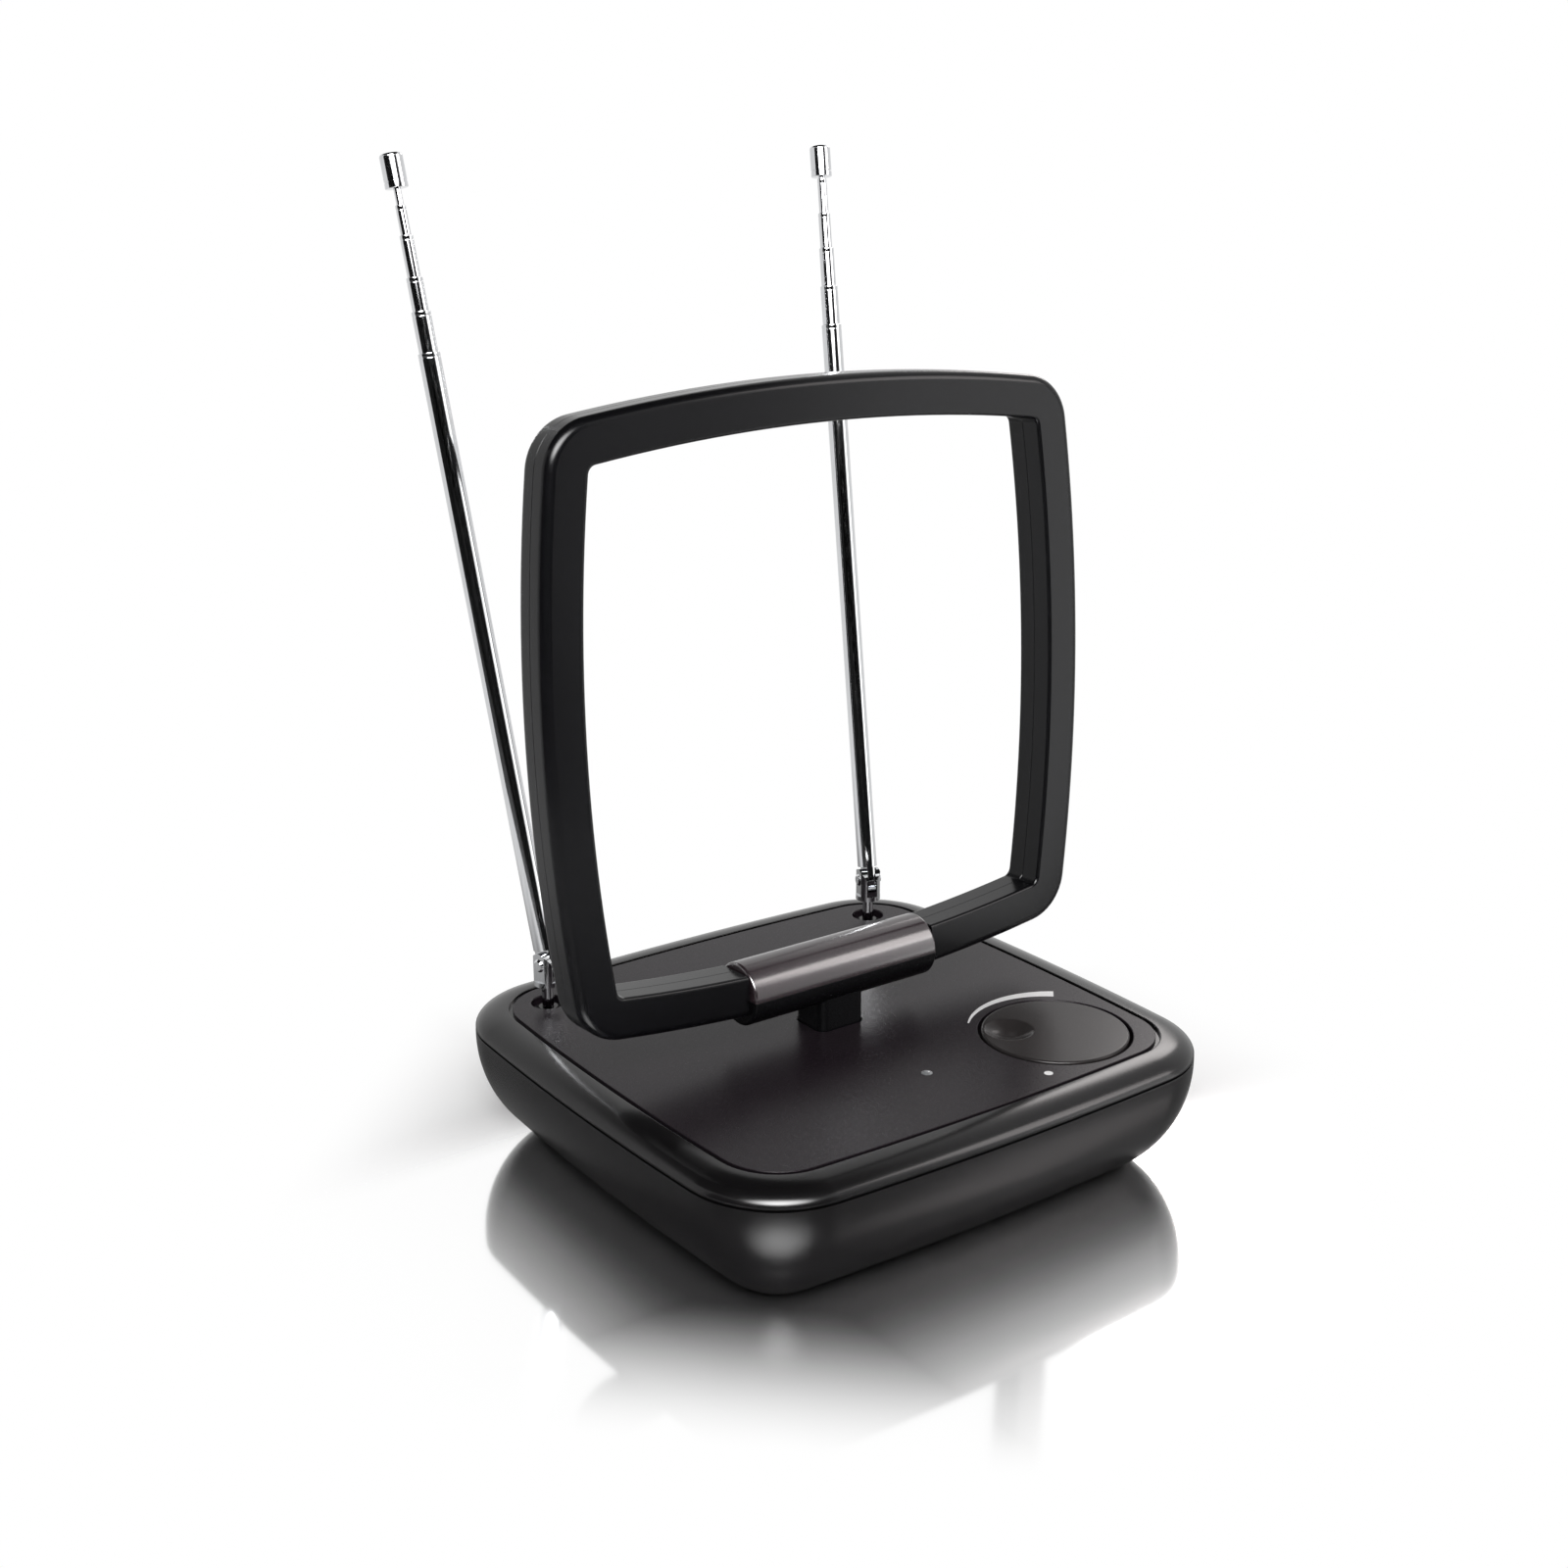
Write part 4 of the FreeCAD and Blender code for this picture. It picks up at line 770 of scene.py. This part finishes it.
class AERIAL_OT_hinge(bpy.types.Operator):
    """Model the post with the cradle of the hinge, and the cap over the journals"""

    bl_idname = "aerial.hinge"
    bl_label = "Loop hinge"

    def execute(self, context):
        edge = 0.8
        outside = [(BORE, -SLEEVE_HALF), (SLEEVE_RADIUS - edge, -SLEEVE_HALF)]
        outside += arc((SLEEVE_RADIUS - edge, edge - SLEEVE_HALF), edge, -90, 0, 5)[1:]
        section = outside + [(r, -h) for r, h in reversed(outside)] + [(BORE, -SLEEVE_HALF)]
        finish = moulded("sleeve_plastic", colours().sleeve, 0.19, 2600.0, 0.06, gloss=0.9)
        halves = {}

        def split_edge(place):
            """True on the sleeve's outer edge along the split line."""
            return abs(place.z - HINGE_Z) < 0.01 and abs(place.y) > SLEEVE_RADIUS - 0.02

        for name, turn in (("hinge_cradle", -180.0), ("hinge_cap", 180.0)):
            halves[name] = lathe(f"{name}_shell", section, (0, 0, HINGE_Z), 48, RIGHT, turn)
            soften_edges(halves[name], split_edge, 0.15)
        cradle = halves["hinge_cradle"]
        low = bottom("hinge_cradle")
        outline = box_outline(POST_HALF_X, POST_HALF_Y, POST_CORNER)
        shape_with(cradle, slab("post", outline, low, HINGE_Z - BORE - 0.4), "UNION")
        shape_with(cradle, slab("flange", box_outline(20, 8, 1.5), low, low + 3), "UNION")
        dark = moulded("post_plastic", colours().loop, 0.3, 2600.0, 0.06, gloss=0.14)
        finish_piece(cradle, "base", "hinge_cradle", "hinge", dark)
        finish_piece(halves["hinge_cap"], "base", "hinge_cap", "hinge", finish)
        return {"FINISHED"}


LOOP_BAR = 11.6
LOOP_DEPTH = 12.6
LOOP_TOP = 161.0
LOOP_LEAN = 3.0
LOOP_BOW, LOOP_CORNER = 5.5, 2.6
JOURNAL = 5.0
LOOP_HALF_HEIGHT = (LOOP_TOP + LOOP_BAR / 2) / 2
LOOP_MIDDLE = LOOP_TOP - LOOP_HALF_HEIGHT


class AERIAL_OT_loop(bpy.types.Operator):
    """Model the front and back halves of the loop frame with their half journals"""

    bl_idname = "aerial.loop"
    bl_label = "Loop frame"

    def execute(self, context):
        arcs = bowed_arcs(LOOP_HALF_WIDTH - LOOP_BAR, LOOP_HALF_HEIGHT - LOOP_BAR, LOOP_BOW, LOOP_CORNER)
        face = LOOP_DEPTH / 2
        outer, inner, nick = 2.6, 1.0, 0.12
        near, far, slot = LOOP_BAR / 2 - 0.7, LOOP_BAR / 2 + 0.7, 3.1
        section = [(nick, 0), (near, 0), (near, slot), (far, slot), (far, 0), (LOOP_BAR - nick, 0), (LOOP_BAR, nick)]
        section += arc((LOOP_BAR - outer, face - outer), outer, 0, 90, 8)
        section += arc((inner, face - inner), inner, 90, 180, 6) + [(0, nick), (nick, 0)]
        finish = moulded("loop_plastic", colours().loop, 0.2, 2600.0, 0.03, gloss=0.15, uneven=0.06)
        end = SLEEVE_HALF + 0.4
        stand = Matrix.Rotation(math.radians(90 - LOOP_LEAN), 4, "X")
        low = -LOOP_MIDDLE - LOOP_BAR
        gap = rectangle(-end, low, end, low + 2 * LOOP_BAR)
        lift = Matrix.Translation(BACK * LOOP_MIDDLE * MM)
        for name, turn in (("loop_front", 0.0), ("loop_back", math.pi)):
            half = sweep(f"{name}_shell", section, arcs, 24, 12, fill=False)
            shape_with(half, slab("hinge_gap", gap, -1, face + 1))
            for ends in ((-end - 0.5, -4.0), (4.0, end + 0.5)):
                journal = lathe("journal", disc(JOURNAL, *ends), (0, -LOOP_MIDDLE, 0), 48, RIGHT)
                shape_with(journal, slab("below", rectangle(-40, low - 9, 40, low + 33), -9, 0.0))
                shape_with(half, journal, "UNION")
            move(half, stand @ lift @ Matrix.Rotation(turn, 4, "Y"), (0, 0, HINGE_Z))
            finish_piece(half, "loop", name, "loop", finish)
        return {"FINISHED"}


# Telescopic rods

TUBE_RADIUS, TUBE_STEP, TUBE_WALL = 3.0, 0.4, 0.25
TIP_RADIUS = 1.0


def rod_line(side):
    """Pivot of a rod, in millimetres, and the direction along it."""
    pivot = Vector(joint(f"{side}_rod_tilt")["pos_m"]) / MM
    return pivot, Vector(joint(f"{side}_tip_slide")["axis"]).normalized()


def reach(side, part):
    """Nearest and farthest places of a rod piece along its rod, in millimetres from the pivot."""
    pivot, axis = rod_line(side)
    places = [(v.co / MM - pivot).dot(axis) for v in NODES[f"{side}_rod_{part}"].data.vertices]
    return min(places), max(places)


class AERIAL_OT_rods(bpy.types.Operator):
    """Model the tubes, tips and end caps of both rods with their rolled ends"""

    bl_idname = "aerial.rods"
    bl_label = "Telescopic rods"

    def execute(self, context):
        names = ("rod_chrome", "stem_chrome_socket_shade")
        chrome, stem = (metal(name, tone(202, 203, 205), 0.07, (1, 1, 0.06), 1400.0, 0.05) for name in names)
        # Painted shade: the stem's chrome is darkened below the panel's top, where it stands in the socket hole
        paint_socket_shade(stem, TOP_Z - 0.7)
        for side in SIDES:
            pivot, axis = rod_line(side)
            for k in SECTIONS:
                low, high = reach(side, f"tube_{k}")
                radius = TUBE_RADIUS - TUBE_STEP * (k - 1)
                bore = radius - TUBE_WALL
                mouth = radius - TUBE_STEP + 0.05
                section = [(bore, low), (radius, low), (radius, high - 1.5), (radius - 0.06, high - 1.4)]
                section += [(radius - 0.06, high - 1.2), (radius, high - 1.1)]
                section += arc((radius - 0.22, high - 0.22), 0.22, 0, 90, 5)
                section += [(mouth, high), (mouth, high - 0.6), (bore, high - 1.2), (bore, low)]
                tube = lathe(f"{side}_tube_{k}", section, pivot, 40, axis)
                finish_piece(tube, f"{side}_section_{k}", f"{side}_rod_tube_{k}", "chrome", chrome)
            low, high = reach(side, "tip")
            tip = lathe(f"{side}_thin_rod", disc(TIP_RADIUS, low, high), pivot, 32, axis)
            finish_piece(tip, f"{side}_tip", f"{side}_rod_tip", "chrome", chrome)
            low, high = reach(side, "cap")
            bore, radius = TIP_RADIUS + 0.02, 3.1
            section = [(bore, low), (radius - 0.2, low)] + arc((radius - 0.2, low + 0.2), 0.2, -90, 0, 3)
            waist = radius - 0.12
            section += [(radius, low + 1.4), (waist, low + 1.5), (waist, low + 1.8), (radius, low + 1.9)]
            section += arc((radius - 0.9, high - 0.9), 0.9, 0, 90, 6)
            section += [(0, high), (0, low + 6), (bore, low + 6), (bore, low)]
            cap = lathe(f"{side}_end_cap", section, pivot, 40, axis)
            finish_piece(cap, f"{side}_tip", f"{side}_rod_cap", "chrome", chrome)
            for part, material in (("swivel", stem), ("rivet", chrome), ("knuckle", chrome)):
                finish_node(f"{side}_rod_{part}", material)
        return {"FINISHED"}


# Rear sockets


def socket_block(name, half):
    """The moulded block of a rear socket on the board, and the level of its back face."""
    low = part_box(name)[0] / MM
    back = low.y + 2 * half
    x = middle(name).x
    return slab(f"{name}_block", rectangle(x - half, low.y, x + half, back), low.z, top(name)), back


def near_axle(axle, place, radius):
    """True within a radius of a socket's axle."""
    return math.hypot(place.x - axle[0], place.z - axle[2]) < radius


class AERIAL_OT_sockets(bpy.types.Operator):
    """Model the threaded aerial socket and the low-voltage inlet in the rear bay"""

    bl_idname = "aerial.sockets"
    bl_label = "Rear sockets"

    def execute(self, context):
        nickel = metal("socket_nickel", tone(190, 186, 178), 0.22)
        filler = moulded("socket_filler", tone(206, 204, 196), 0.5, 1500.0, 0.1)
        black = moulded("inlet_black", tone(26, 26, 28), 0.38, 1500.0, 0.1)
        coax, back = socket_block("coax_socket", 5.5)
        end, crest, root, pitch = BAY_Y + BARREL_LENGTH, 4.7, 4.3, 0.8
        neck, flange = 4.9, 6.0
        barrel = [(0, back - 1), (neck, back - 1), (neck, BAY_Y - 3.6), (flange, BAY_Y - 3.6), (flange, BAY_Y - 2)]
        barrel += [(neck, BAY_Y - 2), (neck, BAY_Y), (4.5, BAY_Y + 0.1)]
        for turn in range(11):
            level = BAY_Y + 0.6 + turn * pitch
            barrel += [(root, level), (crest, level + 0.3), (crest, level + 0.4), (root, level + 0.7)]
        barrel += [(root, end - 0.15), (root - 0.15, end), (3.6, end), (3.4, end - 0.25), (3.4, end - 0.6)]
        barrel += [(0.95, end - 0.6), (0.6, end - 0.9), (0.6, end - 7), (0, end - 7)]
        axle = (middle("coax_socket").x, 0, SOCKET_Z)
        shape_with(coax, lathe("barrel", barrel, axle, 48, BACK), "UNION")
        finish_piece(coax, "base", "coax_socket", "socket", nickel, filler, angle=25.0)
        assign_faces(coax, lambda place, _: place.y > end - 1.5 and near_axle(axle, place, 3.35), 1)
        jack, back = socket_block("power_jack", 5.0)
        jack_axle = (middle("power_jack").x, 0, SOCKET_Z)
        mouth = [(0, back - 1), (4.2, back - 1), (4.2, BAY_Y - 0.2), (4.0, BAY_Y), (0, BAY_Y)]
        shape_with(jack, lathe("mouth", mouth, jack_axle, 48, BACK), "UNION")
        pin, hollow, deep = 1.0, 3.0, BAY_Y - 9.5
        bore = [(pin, deep), (hollow, deep), (hollow, BAY_Y - 0.4), (hollow + 0.4, BAY_Y), (hollow + 0.4, BAY_Y + 1)]
        bore += [(0, BAY_Y + 1), (0, BAY_Y - 0.6), (pin - 0.3, BAY_Y - 0.6), (pin, BAY_Y - 0.9), (pin, deep)]
        shape_with(jack, lathe("bore", bore, jack_axle, 48, BACK))
        finish_piece(jack, "base", "power_jack", "inner_plastic", black, nickel)
        assign_faces(jack, lambda place, _: near_axle(jack_axle, place, pin + 0.02), 1)
        return {"FINISHED"}


class AERIAL_OT_inside(bpy.types.Operator):
    """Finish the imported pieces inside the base"""

    bl_idname = "aerial.inside"
    bl_label = "Inner pieces"

    def execute(self, context):
        tin = metal("tinned_steel", tone(168, 170, 172), 0.34, (1, 8, 1))
        brass = metal("contact_brass", tone(196, 164, 96), 0.3)
        nylon = moulded("bush_nylon", tone(34, 33, 34), 0.5, 1500.0, 0.15)
        lead = moulded("lead_covering", tone(40, 40, 44), 0.5, 1200.0, 0.2)
        for name in ("shield_can", "ballast_plate", "case_screws", "board_screws", "hinge_screws", "gain_pot_shaft"):
            finish_node(name, tin)
        finish_node("gain_pot", moulded("inner_black", tone(30, 30, 32), 0.45, 1500.0, 0.15))
        finish_node("circuit_board", moulded("board_laminate", tone(38, 78, 46), 0.45, 900.0, 0.2, 0.15))
        finish_node("loop_conductor", metal("loop_strip", tone(196, 198, 200), 0.3, (8, 1, 1)))
        finish_node("power_led", moulded("lamp_resin", tone(150, 24, 20), 0.2, 1200.0, 0.05))
        finish_node("loop_leads", lead)
        for side in SIDES:
            for part, material in (("bush", nylon), ("tag", brass), ("clip", brass), ("feed_wire", lead)):
                finish_node(f"{side}_rod_{part}", material)
        return {"FINISHED"}


# Stage

POLISH = 0.95


def seen_rays(tree):
    """1 for rays from the camera and for rays that a glossy or clear surface sends on."""
    rays = tree.nodes.new("ShaderNodeLightPath").outputs
    shown = number_step(tree, "MAXIMUM", rays["Is Camera Ray"], rays["Is Glossy Ray"])
    return number_step(tree, "MAXIMUM", shown, rays["Is Transmission Ray"])


def past_zero(tree, vector):
    """How far a vector goes past zero along X and Y together."""
    return vector_step(tree, "DOT_PRODUCT", vector_step(tree, "MAXIMUM", vector, (0, 0, 0)), (1, 1, 0))


def floor_polish(tree, place, feet, glossy):
    """Share of the floor's polish: strong at a flat angle on two sides of the feet, none on the others."""
    weight = tree.nodes.new("ShaderNodeLayerWeight")
    grazing = ranged(tree, weight.outputs["Facing"], 0.12, 0.3, 0.0, POLISH)
    parts = tree.nodes.new("ShaderNodeSeparateXYZ")
    turned = tree.nodes.new("ShaderNodeCombineXYZ")
    link_chain(tree, place, parts.inputs["Vector"], parts.outputs["Y"], turned.inputs["X"])
    nearer = vector_step(
        tree, "MINIMUM",
        vector_step(tree, "SUBTRACT", place, (feet.x + 0.005, feet.y, 0)),
        vector_step(tree, "ADD", turned.outputs["Vector"], (feet.y + 0.016, 1, 0)))
    sides = ranged(tree, past_zero(tree, nearer), 0.0, 0.03, 1.0, 0.0)
    shown = number_step(tree, "MULTIPLY", grazing, sides)
    return number_step(tree, "MAXIMUM", shown, ranged(tree, glossy, 0.0, 1.0, 0.0, POLISH))


def add_plane(name, size, place=(0, 0, 0)):
    """A flat square for the stage."""
    pick_nothing()
    bpy.ops.mesh.primitive_plane_add(size=size, location=place)
    bpy.context.object.name = name
    return bpy.context.object


def lay_floor():
    """A pale floor, polished on two sides of the aerial and plain white further out."""
    floor = add_plane("stage_floor", 12.0)
    material, tree, shader = new_material("floor_white")
    tree.nodes.remove(shader)
    plain = tree.nodes.new("ShaderNodeBsdfDiffuse")
    plain.inputs["Color"].default_value = tone(246, 246, 246)
    polish = tree.nodes.new("ShaderNodeBsdfGlossy")
    polish.inputs["Roughness"].default_value = 0.08
    white = tree.nodes.new("ShaderNodeEmission")
    near = tree.nodes.new("ShaderNodeMixShader")
    whole = tree.nodes.new("ShaderNodeMixShader")
    glossy = tree.nodes.new("ShaderNodeLightPath").outputs["Is Glossy Ray"]
    place = own_place(tree)
    feet = middle("foot_back_right") * MM
    beside = vector_step(tree, "SUBTRACT", vector_step(tree, "ABSOLUTE", place), (feet.x, feet.y, 0))
    wider = ranged(tree, glossy, 0.0, 1.0, 1.0, 0.32, "LINEAR")
    away = number_step(tree, "MULTIPLY", past_zero(tree, beside), wider)
    fade = ranged(tree, away, 0.025, 0.11, 0.0, 1.0)
    link_chain(
        tree,
        floor_polish(tree, place, feet, glossy), near.inputs["Fac"],
        ranged(tree, glossy, 0.0, 1.0, 1.0, 0.21, "LINEAR"), polish.inputs["Color"],
        plain.outputs["BSDF"], near.inputs[1],
        polish.outputs["BSDF"], near.inputs[2],
        number_step(tree, "MULTIPLY", fade, seen_rays(tree)), whole.inputs["Fac"],
        near.outputs["Shader"], whole.inputs[1],
        white.outputs["Emission"], whole.inputs[2],
        whole.outputs["Shader"], tree.nodes["Material Output"].inputs["Surface"],
    )
    floor.data.materials.append(material)


def light_world(scene):
    """White surroundings in view, and a plain level of light from all sides."""
    world = bpy.data.worlds.new("stage_world")
    scene.world = world
    world.use_nodes = True
    tree = world.node_tree
    background = tree.nodes["Background"]
    background.inputs["Color"].default_value = (1, 1, 1, 1)
    tree.links.new(ranged(tree, seen_rays(tree), 0.0, 1.0, 0.5, 1.0, "LINEAR"), background.inputs["Strength"])


def heading(side, rise):
    """Direction at an angle to the right of the front and an angle above the floor, in degrees."""
    side, rise = math.radians(side), math.radians(rise)
    return Vector((math.sin(side) * math.cos(rise), -math.cos(side) * math.cos(rise), math.sin(rise)))


def set_lamp(name, side, rise, far, width, height, level, colour):
    """A soft box of an even brightness, turned to the aerial."""
    pick_nothing()
    bpy.ops.object.light_add(type="AREA", location=heading(side, rise) * far)
    lamp = bpy.context.object
    lamp.name = name
    lamp.data.shape = "RECTANGLE"
    lamp.data.size = width
    lamp.data.size_y = height
    lamp.data.energy = level * math.pi * width * height
    lamp.data.color = colour
    lamp.rotation_euler = (-heading(side, rise)).to_track_quat("-Z", "Y").to_euler()
    lamp.visible_camera = False


def set_card(card, material):
    """Make a card that only glossy surfaces show."""
    card.data.materials.append(material)
    card.visible_camera = False
    card.visible_diffuse = False
    card.visible_shadow = False
    card.visible_transmission = False


def bright_card(name, level, spot=None):
    """A bright card, even all over or fading from its middle to the half sizes of a spot."""
    material, tree, _ = new_material(name)
    glow = tree.nodes.new("ShaderNodeEmission")
    glow.inputs["Strength"].default_value = level
    tree.links.new(glow.outputs["Emission"], tree.nodes["Material Output"].inputs["Surface"])
    if spot:
        mapping = tree.nodes.new("ShaderNodeMapping")
        mapping.inputs["Scale"].default_value = (1 / spot[0], 1 / spot[1], 1)
        ball = tree.nodes.new("ShaderNodeTexGradient")
        ball.gradient_type = "SPHERICAL"
        link_chain(
            tree,
            own_place(tree), mapping.inputs["Vector"],
            mapping.outputs["Vector"], ball.inputs["Vector"],
            ranged(tree, ball.outputs["Fac"], 0.0, 0.7, 0.0, level), glow.inputs["Strength"],
        )
    return material


def curved_card(name, side, points, steps, turn):
    """A card from (distance, height) points that bends round the aerial from an angle to the right of the front."""
    out = heading(side, 0)
    card = draw(name, [out * far + UP * height for far, height in points])
    bpy.ops.mesh.spin(steps=steps, angle=-math.radians(turn), center=(0, 0, 0), axis=UP)
    return close_up(card, fill=False)


def set_cards():
    """Dark cards in front of and above the aerial, a bright one beside it and one for the spot on the bowl."""
    dark, _, shader = new_material("card_black")
    shader.inputs["Base Color"].default_value = tone(16, 16, 17)
    shader.inputs["Roughness"].default_value = 1.0
    set_card(curved_card("stage_card_front", -108, ((450, 3), (1500, 3), (1500, 1100)), 24, 132), dark)
    above = add_plane("stage_card_above", 1.0, (-0.4, 0.4, 1.5))
    above.scale = (2.6, 2.8, 1.0)
    set_card(above, dark)
    beside = curved_card("stage_card_side", 37, ((220, 2), (1400, 2), (1400, 900)), 6, 17)
    set_card(beside, bright_card("card_side", 3.0))
    toward = heading(-34, 46)
    lit = add_plane("stage_card_bright", 1.3, toward * 1.05)
    lit.rotation_euler = toward.to_track_quat("Z", "Y").to_euler()
    set_card(lit, bright_card("card_front", 36.0, (0.62, 0.4)))


class AERIAL_OT_stage(bpy.types.Operator):
    """Set the floor, the soft lamps, the pale surroundings and the camera"""

    bl_idname = "aerial.stage"
    bl_label = "Stage"

    def execute(self, context):
        scene = context.scene
        scene.view_settings.view_transform = "Standard"
        lay_floor()
        light_world(scene)
        for lamp in (
            ("key_right", 49.0, 37.0, 0.9, 0.3, 0.34, 6.0, (1.0, 0.94, 0.93)),
            ("front_soft", -37.0, 42.0, 1.0, 0.3, 0.3, 10.0, (1.0, 1.0, 1.0)),
            ("rear_right", 120.0, 33.0, 1.0, 0.26, 0.26, 6.5, (1.0, 0.95, 0.94)),
        ):
            set_lamp(*lamp)
        set_cards()
        pick_nothing()
        bpy.ops.object.camera_add(location=(-0.32047, -0.42023, 0.27612))
        camera = context.object
        camera.name = "photo_camera"
        camera.data.lens = 47.556
        camera.data.sensor_width = 36.0
        camera.rotation_euler = Vector((0.5591, 0.7707, -0.3057)).to_track_quat("-Z", "Y").to_euler()
        scene.camera = camera
        return {"FINISHED"}


class AERIAL_PT_panel(bpy.types.Panel):
    """Lists the pieces of the aerial and what a user may change"""

    bl_idname = "AERIAL_PT_panel"
    bl_label = "Set-top aerial"
    bl_space_type = "VIEW_3D"
    bl_region_type = "UI"
    bl_category = "Aerial"

    def draw(self, context):
        for group in (context.scene.aerial_sizes, context.scene.aerial_colours):
            for name in group.bl_rna.properties.keys():
                if name not in ("rna_type", "name"):
                    self.layout.prop(group, name)
        for operator in OPERATORS:
            self.layout.operator(operator.bl_idname)


OPERATORS = (
    AERIAL_OT_cover,
    AERIAL_OT_bowl,
    AERIAL_OT_dial,
    AERIAL_OT_light,
    AERIAL_OT_marks,
    AERIAL_OT_feet,
    AERIAL_OT_hinge,
    AERIAL_OT_loop,
    AERIAL_OT_rods,
    AERIAL_OT_sockets,
    AERIAL_OT_inside,
    AERIAL_OT_stage,
)
CLASSES = (AerialSizes, AerialColours, *OPERATORS, AERIAL_PT_panel)


def register():
    """Make the operators, the panel and the settings known."""
    for item in CLASSES:
        bpy.utils.register_class(item)
    bpy.types.Scene.aerial_sizes = bpy.props.PointerProperty(type=AerialSizes)
    bpy.types.Scene.aerial_colours = bpy.props.PointerProperty(type=AerialColours)


def unregister():
    """Take back what register added."""
    del bpy.types.Scene.aerial_colours
    del bpy.types.Scene.aerial_sizes
    for item in reversed(CLASSES):
        bpy.utils.unregister_class(item)


def main():
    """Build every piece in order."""
    register()
    bpy.ops.aerial.cover()
    bpy.ops.aerial.bowl()
    bpy.ops.aerial.dial()
    bpy.ops.aerial.light()
    bpy.ops.aerial.marks()
    bpy.ops.aerial.feet()
    bpy.ops.aerial.hinge()
    bpy.ops.aerial.loop()
    bpy.ops.aerial.rods()
    bpy.ops.aerial.sockets()
    bpy.ops.aerial.inside()
    bpy.ops.aerial.stage()


if __name__ == "__main__":
    main()
